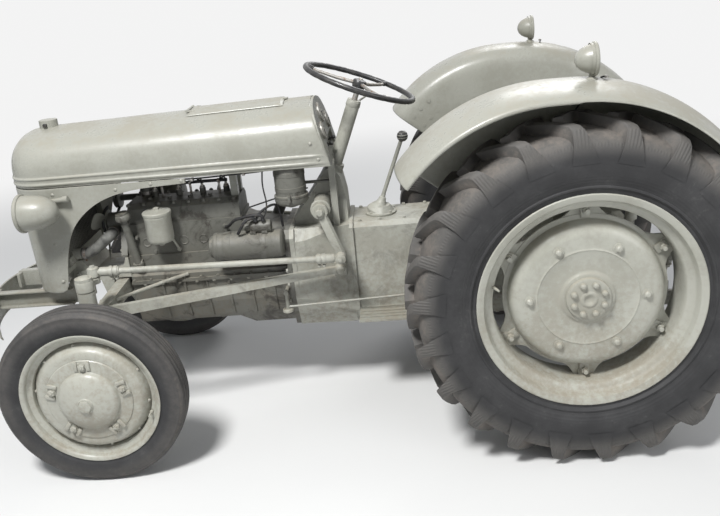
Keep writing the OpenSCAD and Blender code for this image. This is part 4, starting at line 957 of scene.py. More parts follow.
bm = bmesh.new()
shaft = (0, 177, 727)
turned(bm, [(0, 1080), (40, 1080), (48, 1083), (54, 1090), (55, 1126), (57, 1130), (57, 1316),
            (55.5, 1318), (55.5, 1340), (57, 1342), (57, 1352), (53, 1359), (44, 1362), (43, 1372),
            (36, 1377), (18, 1378), (0, 1378)], shaft, AHEAD, steps=64)
turned(bm, band(57, 1.2, 1146, 1169), shaft, AHEAD, steps=64)
turned(bm, band(57, 1.2, 1288, 1313), shaft, AHEAD, steps=64)
for at in around(2, 40, (1361, 177, 727), radians(40), LEFT):
    bolt(bm, at, AHEAD, 6, 6)
block(bm, (1130, 101, 702), (1188, 136, 748), 5)
turned(bm, [(0, 1120), (18, 1120), (23, 1123), (24, 1128), (24, 1196), (22, 1201), (17, 1206),
            (17, 1224), (14, 1229), (0, 1230)], (0, 187, 804), AHEAD, steps=36)
for x in (1136, 1182):
    block(bm, (x, 166, 776), (x + 24, 208, 790), 3)
for x in (1148, 1178):
    turned(bm, [(0, 14), (3, 14), (3, 7), (6, 7), (6, 2), (9, 2), (9, 0), (0, 0)],
           (x, 200, 822), (0, 0.5, 0.86), steps=8)
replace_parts(piece("starter_motor", bm, engine_paint_painted_shade), "starter")
bm = bmesh.new()
tube(bm, [(1148, 207, 834), (1148, 212, 856), (1190, 214, 858), (1262, 190, 838), (1300, 150, 800),
          (1318, 112, 788)], 6, bend=22)
tube(bm, [(1178, 207, 834), (1184, 213, 848), (1216, 222, 840), (1238, 224, 808),
          (1252, 214, 786)], 6, bend=18)
tube(bm, [(1178, 206, 832), (1160, 196, 862), (1118, 160, 880), (1096, 122, 868),
          (1090, 112, 800), (1088, 108, 772)], 5, bend=26)
for x in (1148, 1178):
    turned(bm, [(0, 7), (7.5, 6), (8.5, 0), (8, -4), (0, -4)], (x, 207, 834), UP, steps=14)
piece("starter_cables", bm, lead_rubber)

bm = bmesh.new()
foot, rise = Vector((1699, 120, 655)), Vector((19, 24, 207))
tube(bm, [foot, foot + rise], [15.5, 15.5], sides=24, bend=0)
top, way = foot + rise, rise.normalized()
turned(bm, [(0, -8), (15, -8), (25, -5), (30, -1), (31, 3), (31, 8), (29, 15), (24, 22),
            (15, 27), (6, 28.8), (0, 29)], top, way, steps=32)
turned(bm, band(15.6, 1.9, -30, -17), top, way, steps=24)
turned(bm, [(15, -6), (22, -5), (24, 2), (22, 9), (15, 10)], foot, rise, steps=24)
block(bm, (1685, 100, 760), (1716, 118, 772), 2)
bolt(bm, (1690, 110, 772), UP, 6, 5)
piece("oil_filler", bm, engine_paint_painted_shade)

# Right of the engine: generator with its pulley and belt, manifold with the carburettor hung
# under it, and the exhaust that runs down and back. Cast iron and pressed steel.

hot_iron, wire, place, shader = new_finish("hot_iron")
burn = wire.noise(place, 16.0, 6.0, 0.7)
pits = wire.noise(place, 150.0, 4.0)
rusty = (pits * 0.8).mixed((0.15, 0.075, 0.040), (0.07, 0.040, 0.028))
feed(hot_iron, shader, {"Base Color": burn.above(0.4, 0.64).mixed(rusty, (0.15, 0.14, 0.13)),
                        "Roughness": 0.72 + pits * 0.2, "Normal": wire.bump(0.5, 0.001, pits)})
dress(hot_iron, "manifold", "exhaust")
bm = bmesh.new()
for k in range(4):
    x = 1310 + 120 * k
    block(bm, (x - 34, -109, 745), (x + 34, -101, 795), 3)
    for side in SIDES:
        bolt(bm, (x + 27 * side, -109, 770), -LEFT, 7, 9)
block(bm, (1452, -180, 688), (1508, -128, 698), 3)
for x in (1458, 1502):
    bolt(bm, (x, -154, 698), UP, 6, 6)
turned(bm, washer(25, 34, 733, 745), (1630, -150, 0), UP, steps=24)
piece("manifold_flanges", bm, hot_iron)
bm = bmesh.new()
turned(bm, [(0, 602), (12, 602), (26, 608), (29, 616), (29, 646), (31, 648), (31, 652), (0, 652)],
       (1480, -170, 0), UP, steps=32)
bolt(bm, (1480, -170, 602), -UP, 8, 8)
for at in ((1442, -192, 690), (1518, -192, 690), (1442, -140, 690), (1518, -140, 690)):
    turned(bm, [(0, 4), (4, 3.6), (5, 0), (0, 0)], at, UP, steps=12)
turned(bm, washer(0, 4, -36, 14), (1500, -200, 676), -LEFT, steps=10)
block(bm, (1495, -216, 670), (1505, -212, 714), 1.5)
tube(bm, [(1500, -214, 710), (1380, -214, 742), (1180, -190, 800), (1000, -120, 862)], 3.2,
     sides=8, bend=40)
tube(bm, [(1448, -172, 664), (1430, -172, 660), (1400, -150, 700), (1395, -132, 860),
          (1340, -120, 1010), (1330, -80, 1044)], 4, sides=8, bend=30)
piece("carburettor_parts", bm, engine_paint_painted_shade)
bm = bmesh.new()
shaft = (0, -174, 868)
turned(bm, [(0, 1540), (38, 1540), (46, 1543), (51, 1550), (52, 1580), (54, 1584), (54, 1690),
            (52, 1694), (52, 1716), (48, 1726), (36, 1732), (14, 1733), (14, 1826), (41, 1828),
            (43, 1831), (32, 1838), (32, 1842), (43, 1849), (41, 1851), (14, 1851), (12, 1862),
            (0, 1862)], shaft, AHEAD, steps=56)
turned(bm, band(54, 1, 1596, 1619), shaft, AHEAD, steps=56)
bolt(bm, (1861, -174, 868), AHEAD, 11, 8)
for at in around(8, 30, (1733, -174, 868), 0, LEFT):
    block(bm, at - Vector((0, 4, 4)), at + Vector((3, 4, 4)), 1)
for x in (1575, 1695):
    block(bm, (x - 15, -172, 802), (x + 15, -101, 822), 3)
    bolt(bm, (x, -116, 822), UP, 8, 7)
for x in (1600, 1630):
    turned(bm, [(0, 12), (3, 12), (3, 5), (6, 5), (6, 0), (0, 0)], (x, -174, 922), UP, steps=8)
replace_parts(piece("generator_parts", bm, engine_paint_painted_shade), "generator")
bm = bmesh.new()
loop = []
for y, z, r, first, last in ((0, 810, 51, 80, -92), (-174, 868, 39, 268, 108)):
    loop += [(1840, y + r * cos(radians(first + (last - first) * k / 14)),
              z + r * sin(radians(first + (last - first) * k / 14))) for k in range(15)]
tube(bm, loop, 6.5, sides=8, bend=0, closed=True)
piece("fan_belt", bm, lead_rubber)

# Cooling: the fan's blades are riveted to a hub on the pump shaft, and moulded hoses held by
# screw clamps join the engine to the radiator, whose core shows its tubes and fins.

bm = bmesh.new()
turned(bm, [(0, 1850), (20, 1850), (24, 1847), (50, 1847), (54, 1844), (54, 1841), (46, 1838),
            (46, 1836), (54, 1833), (54, 1830), (50, 1828.6), (0, 1828.6)], (0, 0, 810), AHEAD,
       steps=40)
bolt(bm, (1850, 0, 810), AHEAD, 13, 9)
for k in range(4):
    rows = []
    for r, half, turn in ((38, 20, 30), (60, 26, 30), (90, 34, 28), (125, 36, 25), (152, 33, 22),
                          (166, 24, 20)):
        row = []
        for s in (-1, -0.6, -0.2, 0.2, 0.6, 1):
            w = half * s
            bow = 3 * (1 - s * s)
            row.append((w * sin(radians(turn)) + bow, w * cos(radians(turn)), r))
        rows.append(row)
    blade = sheet_grid(rows)
    for r in (44, 56):
        for w in (-9, 9):
            turned(blade, [(0, 6), (3, 5.5), (5, 3.5), (5, 0), (0, 0)], (1 + w * 0.5, w, r), AHEAD,
                   steps=10)
    merge_in(bm, blade, Matrix.Translation((1839, 0, 810))
             @ Matrix.Rotation(radians(20 + 90 * k), 4, "X"))
bmesh.ops.recalc_face_normals(bm, faces=bm.faces[:])
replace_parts(piece("fan_blades", bm, grey_paint("fan_paint", 200.0, 0.1, gloss=0.4, dust=0.6,
                                               rust=0.4, tone_and_shade=0.7), "chassis"), "fan")
hose_rubber, wire, place, shader = new_finish("hose_rubber")
age = wire.noise(place, 30.0, 6.0)
weave = wire.node("TexWave", {"bands_direction": "DIAGONAL"},
                  {"Vector": place, "Scale": 90.0, "Distortion": 1.0})
colour = age.above(0.35, 0.65).mixed((0.060, 0.060, 0.056), (0.17, 0.17, 0.155))
feed(hose_rubber, shader, {"Base Color": colour, "Roughness": 0.55 + age * 0.3,
                           "Normal": wire.bump(0.25, 0.0006, weave)})
bm, clamps = bmesh.new(), bmesh.new()
upper = [(1670, -60, 900.4), (1670, -60, 985), (1872, -96, 1080), (1923.6, -96, 1080)]
lower = [(1923.6, 120, 722), (1888, 120, 722), (1794, 120, 790), (1794, 66.4, 790)]
for path, r in ((upper, 24), (lower, 23)):
    tube(bm, path, r, sides=28, bend=44)
    for a, b in ((path[0], path[1]), (path[-1], path[-2])):
        way = (Vector(b) - Vector(a)).normalized()
        at = Vector(a) + way * 13
        turned(clamps, band(r + 0.1, 1.5, -6, 6, 0), at, way, steps=32)
        side = way.cross(LEFT if abs(way.y) < 0.5 else AHEAD).normalized()
        lump(clamps, at + side * (r + 5), (5, 5, 5), 1.5)
        turned(clamps, [(0, 13), (3.5, 13), (4, 9), (2.5, 9), (2.5, -10), (0, -10)],
               at + side * (r + 6), way.cross(side), steps=10)
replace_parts(piece("radiator_hoses", bm, hose_rubber), "hoses")
piece("hose_clamps", clamps, bare_steel)
bm = bmesh.new()
for k in range(31):
    z = 736 + k * 9.2
    block(bm, (1956, -184, z), (1959, 184, z + 1.2))
for k in range(24):
    y = -176 + k * 15.3
    block(bm, (1954, y, 726), (1959, y + 5, 1022), 1)
for y in (-190, 184):
    block(bm, (1950, y, 726), (2026, y + 6, 1024), 1)
piece("radiator_core", bm, grey_paint("core_paint", 200.0, 0.1, gloss=0.5, dust=0.6, rust=0.3,
                                      tone_and_shade=0.35), "chassis")

# Air cleaner: a drawn steel body with an oil cup held by a clamp band, strapped to the dash leg.

bm = bmesh.new()
at = (1034, 146, 0)
turned(bm, [(0, 862), (14, 862), (19, 864), (20, 872), (30, 873), (52, 876), (62, 883), (66, 890),
            (66, 904), (64, 906), (67, 907), (67, 914), (62, 915), (60, 918), (60, 1020),
            (57, 1030), (48, 1035), (30, 1036), (0, 1036)], at, UP, steps=56)
for z in (940, 1000):
    turned(bm, band(60, 1.5, z - 9, z + 9), at, UP, steps=56)
block(bm, (882.4, 96, 942), (980, 120, 950), 2)
block(bm, (976, 118, 932), (990, 150, 960), 3)
bolt(bm, (985, 122, 946), -LEFT, 6, 6)
block(bm, (1028, 212, 898), (1040, 226, 922), 2)
turned(bm, [(0, 12), (3, 12), (3, 5), (7, 4), (7, 0), (0, 0)], (1034, 220, 922), UP, steps=8)
pipe_path = [(1034, 100, 985), (1034, -150, 985), (1170, -188, 700), (1350, -188, 668),
             (1395.7, -188, 668)]
tube(bm, pipe_path, 24, sides=28, bend=46)
for at, way in (((1034, -60, 985), LEFT), ((1380, -188, 668), AHEAD)):
    turned(bm, band(24, 4, -12, 12), at, way, steps=28)
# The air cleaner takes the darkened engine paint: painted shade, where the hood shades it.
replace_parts(piece("air_cleaner_body", bm, engine_paint_painted_shade), "air_cleaner")

# Front end: a forged axle whose ends slide in its middle beam and are clamped by bolts, kingpins
# with clamped steering arms, and drag links with threaded ball ends. The bumper is rolled plate
# on two arms that are bolted to the front support.

bm = bmesh.new()
for side in SIDES:
    for y in (350, 280):
        bolt(bm, (1815, side * y, 566), AHEAD, 11, 12)
        bolt(bm, (1742, side * y, 566), -AHEAD, 11, 10)
    for z in (575, 660):
        turned(bm, [(0, 12), (2.5, 12), (4, 10), (2.5, 8), (4, 6), (4, 0), (0, 0)],
               (1778, side * 532, z), (0, side, 0), steps=10)
    block(bm, (846, side * 122, 584), (894, side * 168, 620), 6)
    for x in (853, 887):
        bolt(bm, (x, side * 168, 602), (0, side, 0), 7, 8)
    tube(bm, [(1500, side * 126, 604), (1560, side * 150, 596), (1700, side * 260, 586),
              (1752, side * 300, 580)], 7, sides=10, bend=40)
bolt(bm, (1862, 0, 565), AHEAD, 20, 14)
for y in (-90, 90):
    for z in (630, 668):
        bolt(bm, (1752, y, z), AHEAD, 9, 8)
piece("front_axle_bolts", bm, casting)


def knuckle_parts(bm):
    turned(bm, [(0, 760), (14, 759), (22, 756), (26, 751), (27, 744), (32, 742), (33, 738),
                (33, 706), (30, 703), (17.4, 703)], (1778, 500, 0), UP, steps=32)
    block(bm, (1769, 462, 712), (1787, 474, 748), 3)
    for z in (720, 740):
        bolt(bm, (1787, 468, z), AHEAD, 6, 7)
    turned(bm, [(35, 332), (35, 345), (31, 350), (28.4, 352)], (1778, 500, -12), UP, steps=28)
    turned(bm, [(50, 514), (74, 516), (78, 520), (78, 524), (50, 526), (36, 524), (36, 514),
                (50, 514)], (1778, 0, 345), LEFT, steps=40)


both_sides("knuckle_cap", knuckle_parts, casting, "knuckle_{}_body")
rear_ball, front_ball = Vector((854, 275, 680)), Vector((1778, 400, 738))
PITMAN_SHAFT, PITMAN_END = Vector((921, 0, 856)), Vector((854, 0, 680))
link_way = (front_ball - rear_ball).normalized()


def drag_parts(bm):
    for at, way in ((rear_ball, link_way), (front_ball, -link_way)):
        turned(bm, [(12.1, 22), (17, 24), (18, 30), (18, 92), (16, 96), (12.1, 97)], at, way,
               steps=24)
        for reach in (66, 84):
            turned(bm, washer(18, 21, -6, 6), at + way * reach, way, steps=24)
            lug = at + way * reach - Vector((0, 0, 27))
            block(bm, lug - Vector((6, 6, 8)), lug + Vector((6, 6, 6)), 2)
            bolt(bm, lug + Vector((0, 6, -1)), LEFT, 5, 5)
    turned(bm, [(0, 20), (13, 20), (19, 17), (21.5, 12), (21.5, -14), (18, -17), (0, -17)],
           front_ball, UP, steps=28)
    turned(bm, [(0, 27), (10, 26), (12, 20), (0, 20)], front_ball, UP, steps=6)
    turned(bm, [(0, 26), (13, 25), (18, 22), (20.6, 17), (20.6, -6)], rear_ball, LEFT, steps=28)
    bolt(bm, rear_ball + Vector((0, 26, 0)), LEFT, 9, 7)


both_sides("drag_link_ends", drag_parts, casting, "drag_{}_body")


def pitman_parts(bm):
    turned(bm, [(30, 204), (31, 207), (31, 228), (28, 231), (17, 231)], PITMAN_SHAFT, LEFT,
           steps=32)
    bolt(bm, PITMAN_SHAFT + LEFT * 238, LEFT, 15, 12)
    turned(bm, [(0, 252), (2.4, 252), (2.4, 249), (0, 249)], PITMAN_SHAFT, LEFT, steps=8)
    bolt(bm, PITMAN_END + LEFT * 233, -LEFT, 12, 11)
    way = (PITMAN_END - PITMAN_SHAFT).normalized()
    middle = PITMAN_SHAFT + LEFT * 217 + way * 78
    turned(bm, [(0, 14), (5, 13.5), (7, 12), (7, 11), (0, 11)], middle, LEFT, steps=12)


both_sides("pitman_nuts", pitman_parts, casting, "pitman_{}_body")

FRONT_REACH, ARC = 2350, 560
rows = []
for z, out in ((455, -9), (458, -3), (464, 0), (484, 0), (520, 0), (556, 0), (572, 0), (577, -3),
               (580, -9)):
    row = []
    for k in range(13):
        y = 352 * k / 12
        row.append((FRONT_REACH - 1 - ARC + sqrt(ARC * ARC - y * y) + out, y, z))
    rows.append(row)
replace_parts(finish_sheet(sheet_grid(rows), "bumper_bar", 8), "bumper")
bm = bmesh.new()
plate(bm, [(1898, 545), (1898, 650), (1968, 650), (2016, 582), (2334, 582), (2334, 512),
           (1985, 512)], 118.3, 129.5, 1.6)
for x, z in ((2330, 574), (2322, 512)):
    block(bm, (1990, 129, z), (x, 152, z + 8), 2)
for x, z in ((1915, 570), (1915, 632), (1950, 632), (1958, 560)):
    bolt(bm, (x, 129, z), LEFT, 10, 9)
for z in (530, 564):
    bolt(bm, (2333, 100, z), AHEAD, 9, 8)
block(bm, (2316, 84, 516), (2330, 126, 578), 2)
mirrored(bm)
piece("bumper_arms", bm, sheet_paint)

# Driver's controls: a black hard-rubber wheel on three steel spokes, a gauge panel, a gear lever
# in its socket, pedals with cast treads, and ribbed foot plates. The seat is a pressed pan on a
# leaf spring that is bolted to the lift cover.

COLUMN_LEAN, COLUMN_FOOT = radians(22), Vector((909, 0, 870))
column = Vector((-sin(COLUMN_LEAN), 0, cos(COLUMN_LEAN)))
WHEEL_AT = COLUMN_FOOT + column * 464
lean = Matrix.Translation(WHEEL_AT) @ Matrix.Rotation(-COLUMN_LEAN, 4, "Y")
grip_rubber = speckled("grip_rubber", (40.0, 5.0), (0.4, 0.7), (0.014, 0.014, 0.015),
                       (0.035, 0.033, 0.03), 0.3, 0.25, {"Coat Weight": 0.15})
rim, spokes = bmesh.new(), bmesh.new()
path = [(218 * cos(tau * k / 96), 218 * sin(tau * k / 96), 0) for k in range(96)]
tube(rim, path, [11 - (0.8 if k % 4 == 0 else 0) for k in range(96)], sides=18, bend=0,
     closed=True)
for k in range(3):
    a = tau * k / 3
    tube(spokes, [(24 * cos(a), 24 * sin(a), -4), (90 * cos(a), 90 * sin(a), -7),
                  (170 * cos(a), 170 * sin(a), -5), (209 * cos(a), 209 * sin(a), 0)],
         [7.5, 7.2, 6.6, 6.2], sides=14, bend=0)
    turned(rim, [(6.4, 0), (9.5, 0), (10, 6), (8.6, 16), (6.6, 20)],
           (207 * cos(a), 207 * sin(a), 0), (-cos(a), -sin(a), -0.1), steps=16)
turned(rim, [(11.4, -28), (20, -28), (23, -25), (25, -18), (27, -12), (27, 4), (24, 9), (18, 11.6),
             (0, 12)], (0, 0, 0), UP, steps=40)
turned(spokes, [(0, -320), (10.9, -320), (10.9, -26), (0, -26)], (0, 0, 0), UP, steps=24)
turned(spokes, [(0, 19), (7, 18), (10, 12), (0, 11.9)], (0, 0, 0), UP, steps=6)
rim.transform(lean)
spokes.transform(lean)
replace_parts(piece("wheel_rim", rim, grip_rubber, "steering_wheel_body"),
            "steering_wheel")
piece("wheel_spokes", spokes, bare_steel, "steering_wheel_body")

bm = bmesh.new()
collar = WHEEL_AT - column * 72
turned(bm, [(12.5, 0), (24, 0), (28, -4), (29, -22), (27, -26)], collar, column, steps=32)
turned(bm, [(27, 58), (34, 60), (37, 64), (37, 124), (34, 129), (27, 130)],
       COLUMN_FOOT, column, steps=36)
for lug in around(4, 33.6, COLUMN_FOOT + column * 44, 0.6, column.cross(LEFT), LEFT):
    lump(bm, lug, (9, 9, 6), 3)
for side in SIDES:
    for x in (846, 1022):
        bolt(bm, (x, side * 60, 765), UP, 9, 9)
    turned(bm, [(34, 0), (38, 1), (39, 5), (39, 12), (34, 14)],
           PITMAN_SHAFT + LEFT * side * 186, (0, side, 0), steps=32)
    for at in around(4, 44, PITMAN_SHAFT + LEFT * side * 79, pi / 4):
        bolt(bm, at, (0, side, 0), 7, 7)
piece("steering_box_parts", bm, casting)

# gauge panel: three dials with bright bezels that face the seat
dial_face = speckled("dial_face", (30.0, 5.0), None, (0.55, 0.53, 0.46), (0.40, 0.37, 0.30),
                     0.35, 0.2, {"Coat Weight": 0.5})
bezels, faces, needles = bmesh.new(), bmesh.new(), bmesh.new()
facing = Vector((-sin(radians(74)), 0, cos(radians(74))))
for y, rise, r in ((-118, 118, 34), (0, 168, 40), (118, 118, 34)):
    at = Vector((860 + rise * DASH_LEAN / HOOD_RISE, y, HOOD_LOW + rise)) + facing * 8
    turned(bezels, [(r + 0.4, 0), (r + 0.4, 3), (r - 1, 6), (r - 4, 6.4), (r - 5, 4.4),
                    (r - 5, 0)], at, facing, steps=40)
    turned(faces, [(r - 5, 6.2), (0, 6.5)], at, facing, steps=32)
    side = facing.cross(LEFT)
    for k in range(9):
        a = radians(200 - 27.5 * k)
        mark = at + (LEFT * cos(a) + side * sin(a)) * (r - 9) + facing * 6.6
        lump(needles, mark, (0.6, 0.8, 1.6))
    tube(needles, [at + facing * 7.4 - side * 4, at + facing * 7.4 + side * (r - 12)],
         [1.3, 0.6], sides=6, bend=0)
    turned(needles, [(0, 9), (3, 8.6), (3.4, 6.6)], at, facing, steps=14)
piece("gauge_bezels", bezels, bare_steel)
piece("gauge_faces", faces, dial_face)
piece("gauge_needles", needles, lead_rubber)
bm = bmesh.new()
for y in (-60, 60):
    turned(bm, [(0, 20), (5, 19.5), (8, 17), (9, 12), (8, 7), (4, 4), (4, 0), (9, 0), (9, -3),
                (0, -3)], (876, y, HOOD_LOW + 52), facing, steps=18)
for at, r in (((584, 0, 1076), 22.6), ((190, -142.3, 985), 15.5)):
    turned(bm, [(0, -r), (r * 0.5, -r * 0.87), (r * 0.87, -r * 0.5), (r, 0), (r * 0.87, r * 0.5),
                (r * 0.5, r * 0.87), (0, r)], at, UP, steps=28)
piece("lever_knobs", bm, grip_rubber)
bm = bmesh.new()
way = (Vector((584, 0, 1076)) - Vector((694, 0, 795))).normalized()
turned(bm, [(0, -34), (40, -34), (48, -30), (50, -22), (46, -14), (34, 0), (22, 12), (16, 24),
            (14, 34), (9, 38), (8.2, 50)], (694, 0, 798), way, steps=36)
turned(bm, [(0, 0), (62, 0), (64, 4), (64, 8), (58, 11), (0, 11)], (694, 0, 765), UP, steps=40)
for at in around(4, 54, (694, 0, 775), pi / 4, AHEAD, LEFT):
    bolt(bm, at, UP, 7, 7)
turned(bm, [(0, 12), (20, 12), (22, 9), (22, 0), (0, 0)], (1098, 182, 430), UP, steps=20)
bolt(bm, (560, 182, 470), LEFT, 9, 8)
piece("gear_lever_socket", bm, casting)

# pedal treads, a return spring and foot plate bolts
bm = bmesh.new()
for y, z in ((285, 640), (-215, 632), (-285, 632)):
    tilt = Matrix.Translation((560, y, z)) @ Matrix.Rotation(-radians(60), 4, "Y")
    pad = bmesh.new()
    for x in range(-32, 36, 13):
        block(pad, (x - 2.5, -33, 4), (x + 2.5, 33, 8.5), 1)
    for side in SIDES:
        block(pad, (-38, side * 32, 3), (38, side * 36, 8), 1)
    merge_in(bm, pad, tilt)
    side = 1 if y > 0 else -1
    bolt(bm, (520, y + side * 15, 470), (0, side, 0), 14, 9)
    turned(bm, band(16.4, 3.6, -24, -18, 0), (520, y - side * 8, 470), LEFT, steps=24)
for side in SIDES:
    for x in (640, 760):
        for y in (150, 230):
            turned(bm, [(0, 3), (5, 2.6), (8, 0), (0, 0)], (x + 7, side * y, 404), UP, steps=12)
        bolt(bm, (x - 4, side * 124, 372), (0, side, 0), 7, 7)
piece("pedal_treads", bm, sheet_paint)
bm = bmesh.new()
coil = [(590 + 6.5 * cos(tau * k / 8), 262 + 6.5 * sin(tau * k / 8), 452 + k * 0.42)
        for k in range(150)]
tube(bm, [(590, 262, 444)] + coil + [(590, 262, 520), (584, 278, 530)], 1.5, sides=6, bend=0)
piece("pedal_spring", bm, bare_steel)

# seat pan, its leaf spring and bolts
SEAT = Vector((-190, 0, 985))
SEAT_SIDES, SEAT_EDGE = 48, 131.6  # points round the pan, and the height of its edge
pan = [(0, 0), (40, 0.5), (80, 1.5), (120, 4.5), (148, 12), (168, 22), (184, 36), (198, 54),
        (208, 76), (214, 98), (218.5, 118), (221, 129), (221.6, 131), (220.5, 131.6), (218.5, 130)]
sheet = bmesh.new()
rows = []
for r, h in pan[1:]:
    row = []
    for k in range(SEAT_SIDES):
        a = tau * k / SEAT_SIDES
        x = r * cos(a)
        top = min(SEAT_EDGE, 140 - (221 * cos(a) + 120) * 0.2308)
        ease = min(1, max(0, (r - 120) / 90))
        lifted = h * (1 + (top / SEAT_EDGE - 1) * ease)
        row.append(sheet.verts.new(SEAT + Vector((x, r * sin(a), lifted))))
    rows.append(row)
centre = sheet.verts.new(SEAT)
for k in range(SEAT_SIDES):
    sheet.faces.new((centre, rows[0][k], rows[0][(k + 1) % SEAT_SIDES]))
skin(sheet, rows)
seat = piece("seat_pan", sheet, sheet_paint, "chassis", crease=60)
wall = seat.modifiers.new("thickness", "SOLIDIFY")
wall.thickness, wall.offset = 0.003, 1
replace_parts(seat, "seat")
leaf = rounded([(126, 0, 865), (-336, 0, 873), (-378, 0, 912), (-338, 0, 959), (-122, 0, 979)],
               34, 6)
bm = bmesh.new()
strip = []
for k, point in enumerate(leaf):
    way = (leaf[min(k + 1, len(leaf) - 1)] - leaf[max(k - 1, 0)]).normalized()
    up = way.cross(LEFT)
    strip.append([bm.verts.new(point + up * s + LEFT * y)
                  for s, y in ((4.5, -35), (4.5, 35), (-4.5, 35), (-4.5, -35))])
skin(bm, strip)
bm.faces.new(strip[0])
bm.faces.new(strip[-1])
bmesh.ops.recalc_face_normals(bm, faces=bm.faces[:])
for x in (60, 110):
    for y in (-20, 20):
        bolt(bm, (x, y, 870), UP, 9, 9)
turned(bm, [(0, 962), (13, 962), (14, 966), (14, 984), (0, 985)], (-190, 0, 0), UP, steps=20)
turned(bm, [(0, 996), (6, 995.6), (14, 993), (17, 989), (17, 986), (0, 986)], (-190, 0, 0), UP, 24)
block(bm, (-205, -30, 976), (-120, 30, 985), 2)
piece("seat_spring", bm, sheet_paint)

# Rear: lift arms, screw-adjusted lift rods and forged lower links with ball eyes; their pins are
# kept by washers and spring cotters. The drawbar is a flat forging held by a pinned yoke.

bm = bmesh.new()
for side in SIDES:
    turned(bm, [(42, 0), (44, 2), (44, 8), (40, 12), (26, 13), (24, 15), (20, 17), (0, 17)],
           (-150, side * 238, 815), (0, side, 0), steps=36)
    turned(bm, [(0, 0), (15, 0), (15, 3), (10, 4), (10, 9), (0, 10)],
           (-424, side * 264.2, 791), (0, side, 0), steps=20)
    tube(bm, [(-424, side * 271, 779), (-424, side * 271, 804), (-420, side * 272, 810),
              (-414, side * 270, 806)], 1.8, sides=6, bend=3)
    for x, z in ((-230, 806), (-330, 800)):
        lump(bm, Vector((x, side * 213.5, z)), (30, 1.5, 8), 2)
piece("lift_arm_pins", bm, casting, "lift_arms_body")

bm = bmesh.new()
for side in SIDES:
    a, b = Vector((-423.95, side * 253, 791)), Vector((-373.7, side * 253, 476))
    way = (b - a).normalized()
    turned(bm, band(26, 0.8, -10, 10), a, LEFT, steps=32)
    turned(bm, band(24, 1.6, -12, 12, 2), b, LEFT, steps=32)
    turned(bm, [(15, 42), (19, 44), (20, 48), (20, 54), (18, 58), (15, 60)], a, way, steps=28)
    bolt(bm, a + way * 76, way, 20, 16)
    bolt(bm, a + way * 236, way, 20, 16)
    for reach in range(98, 232, 6):
        turned(bm, band(22, 0.9, -2, 2), a + way * reach, way, steps=20)
piece("lift_rod_nuts", bm, casting, "lift_rods_body")

bm = bmesh.new()
for side in SIDES:
    a, b = Vector((20, side * 215, 430)), Vector((-782.2, side * 359, 430))
    along = (b - a).normalized()
    turned(bm, [(12.2, -15), (20, -15), (23, -11), (27, -10), (29, -6), (29, 6), (27, 10),
                (23, 11), (20, 15), (12.2, 15), (12.2, -15)], a, LEFT, steps=32)
    turned(bm, [(11.4, -16.5), (19, -16.5), (22, -12), (26, -11), (27, -7), (27, 7), (26, 11),
                (22, 12), (19, 16.5), (11.4, 16.5), (11.4, -16.5)], b, LEFT, steps=32)
    turned(bm, [(0, 0), (14, 0), (14, 3), (9, 4), (9, 8), (0, 9)],
           (-373.7, side * 227, 476), (0, -side, 0), steps=18)
    rib = bmesh.new()
    block(rib, (60, -13, -4), (720, 13, 4), 2)
    turn = Matrix.Translation(a) @ along.to_track_quat("X", "Z").to_matrix().to_4x4()
    merge_in(bm, rib, turn)
piece("lower_link_eyes", bm, casting, "lower_links_body")

bm = bmesh.new()
for side in SIDES:
    turned(bm, [(0, 0), (16, 0), (18, 3), (18, 8), (11, 9), (11, 18), (0, 19)],
           (20, side * 230, 430), (0, side, 0), steps=24)
    bolt(bm, (-175, side * 46, 335), -UP, 10, 9)
bolt(bm, (-175, 0, 288), -UP, 12, 10)
turned(bm, [(0, 16), (9, 15), (12, 11), (12, 0), (0, 0)], (230, 0, 300), -UP, steps=18)
for at in around(6, 58, (-250, 0, 520), 0.3, LEFT):
    bolt(bm, at, -AHEAD, 8, 7)
turned(bm, [(0, -0.5), (8.6, 0), (8.8, 42), (10, 46), (10, 62), (12, 64), (12, 72), (0, 73)],
       (-258, -34, 670), LEFT, steps=20)
tube(bm, [(-258, -38, 682), (-258, -38, 658), (-254, -40, 652)], 1.8, sides=6, bend=3)
for y in (-20, 20):
    for z in (400, 470):
        bolt(bm, (-206, y * 4, z), -AHEAD, 9, 8)
piece("rear_pins", bm, casting)

# Wiring: rubber-covered wires run from the gauge panel along the hood's edge to the lamps, the
# generator and the starter switch, held to the sheet metal by small clips.

bm = bmesh.new()
tube(bm, [(880, 90, 1070), (960, 150, 1046), (1120, 186, 1022), (1400, 196, 1016),
          (1700, 196, 1030), (1930, 196, 1024), (1966, 200, 990), (1972, 206, 958)], 3.4, sides=8,
     bend=50)
tube(bm, [(1130, 186, 1021), (1140, 170, 960), (1128, 172, 880), (1148, 190, 836)], 3, sides=8,
     bend=40)
tube(bm, [(880, -90, 1070), (980, -150, 1040), (1300, -180, 1010), (1560, -178, 980),
          (1600, -174, 936)], 3.2, sides=8, bend=50)
for side in SIDES:
    tube(bm, [(-70, side * 600, 1338), (-58, side * 560, 1334), (-40, side * 470, 1270),
              (40, side * 452, 1160), (110, side * 452, 1090)], 3, sides=8, bend=40)
piece("wiring", bm, lead_rubber)
bm = bmesh.new()
for x, y, z in ((1200, 189, 1020), (1400, 196, 1016), (1700, 196, 1030)):
    block(bm, (x - 5, y - 5, z - 5), (x + 5, y + 20, z + 5), 1)
for side in SIDES:
    turned(bm, [(0, 8), (4, 7.6), (6, 5), (6, 0), (0, 0)], (-66, side * 600, 1335), UP, steps=12)
piece("wire_clips", bm, bare_steel)

# Floor, light and camera. A pale sweep under soft lamps; the camera stands where the photograph
# was taken from, at the height of a standing person's eyes, and is rolled a little.

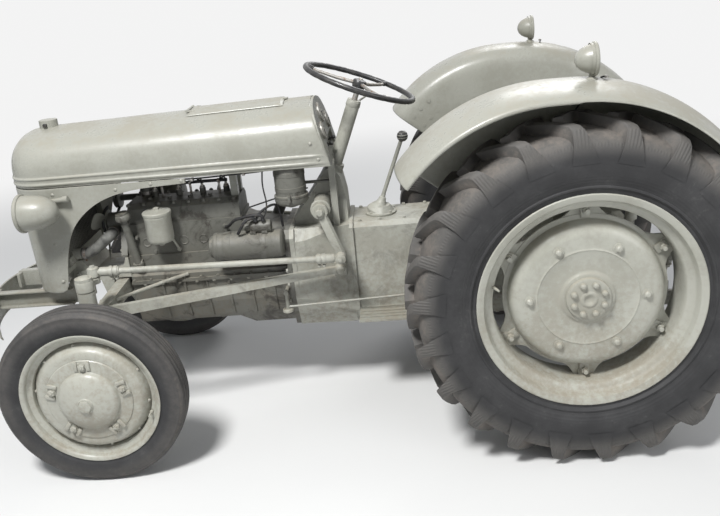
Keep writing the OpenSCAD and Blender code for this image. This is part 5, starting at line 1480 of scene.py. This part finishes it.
floor_finish, wire, place, shader = new_finish("floor")
far = wire.node("VectorMath", {"operation": "LENGTH"}, {0: place}, out=1).above(2.6, 6.0)
seen = far * wire.node("LightPath")
feed(floor_finish, shader, {"Base Color": seen.mixed((0.70, 0.70, 0.69), (0, 0, 0)),
                            "Emission Color": seen.mixed((0, 0, 0), (0.90, 0.90, 0.90)),
                            "Emission Strength": 1.0, "Roughness": 0.9,
                            "Specular IOR Level": 0.0})
bm = bmesh.new()
bmesh.ops.create_grid(bm, x_segments=1, y_segments=1, size=40)
mesh = bpy.data.meshes.new("floor")
bm.to_mesh(mesh)
bm.free()
mesh.materials.append(floor_finish)
floor = in_scene("floor", mesh)

sky = bpy.data.worlds.new("studio")
bpy.context.scene.world = sky
sky.use_nodes = True
back = sky.node_tree.nodes["Background"]
wire = Wire(sky.node_tree)
glare = wire.sum("MAXIMUM", wire.node("LightPath"),
                 wire.sum("MAXIMUM", wire.node("LightPath", out=3), wire.node("LightPath", out=6)))
sky.node_tree.links.new(glare.mixed((0.25, 0.262, 0.285), (0.90, 0.90, 0.90)).socket,
                        back.inputs["Color"])
back.inputs["Strength"].default_value = 1.0


def soft_light(name, at, towards, size, power):
    light = bpy.data.lights.new(name, "AREA")
    light.shape, light.size, light.energy = "DISK", size, power
    way = Vector(towards) - Vector(at)
    turn = way.to_track_quat("-Z", "Y").to_matrix().to_4x4()
    in_scene(name, light).matrix_world = Matrix.Translation(at) @ turn


soft_light("key", (1.3, 3.1, 5.0), (0, 0, 0.7), 1.1, 372)
soft_light("fill", (-3.4, 3.6, 2.0), (0, 0, 0.7), 2.6, 55)
soft_light("rim", (-1.5, -4.0, 4.2), (0, 0, 0.8), 2.6, 90)

yaw, pitch, roll = -0.066, 0.351, 0.094  # in radians
STANDS_AT = (-0.1848, 3.2071, 1.7488)
FOCAL, PHOTO_WIDTH = 811.5, 720  # in pixels
ahead = Vector((-sin(yaw) * cos(pitch), -cos(yaw) * cos(pitch), -sin(pitch)))
across = Vector((-cos(yaw), sin(yaw), 0))
down = ahead.cross(across)
right = cos(roll) * across + sin(roll) * down
below = cos(roll) * down - sin(roll) * across
optics = bpy.data.cameras.new("camera")
optics.sensor_width, optics.lens = 36, 36 * FOCAL / PHOTO_WIDTH
camera = in_scene("camera", optics)
camera.matrix_world = (Matrix.Translation(STANDS_AT)
                       @ Matrix((right, -below, -ahead)).transposed().to_4x4())
bpy.context.scene.camera = camera
bpy.context.scene.view_settings.view_transform = "Standard"
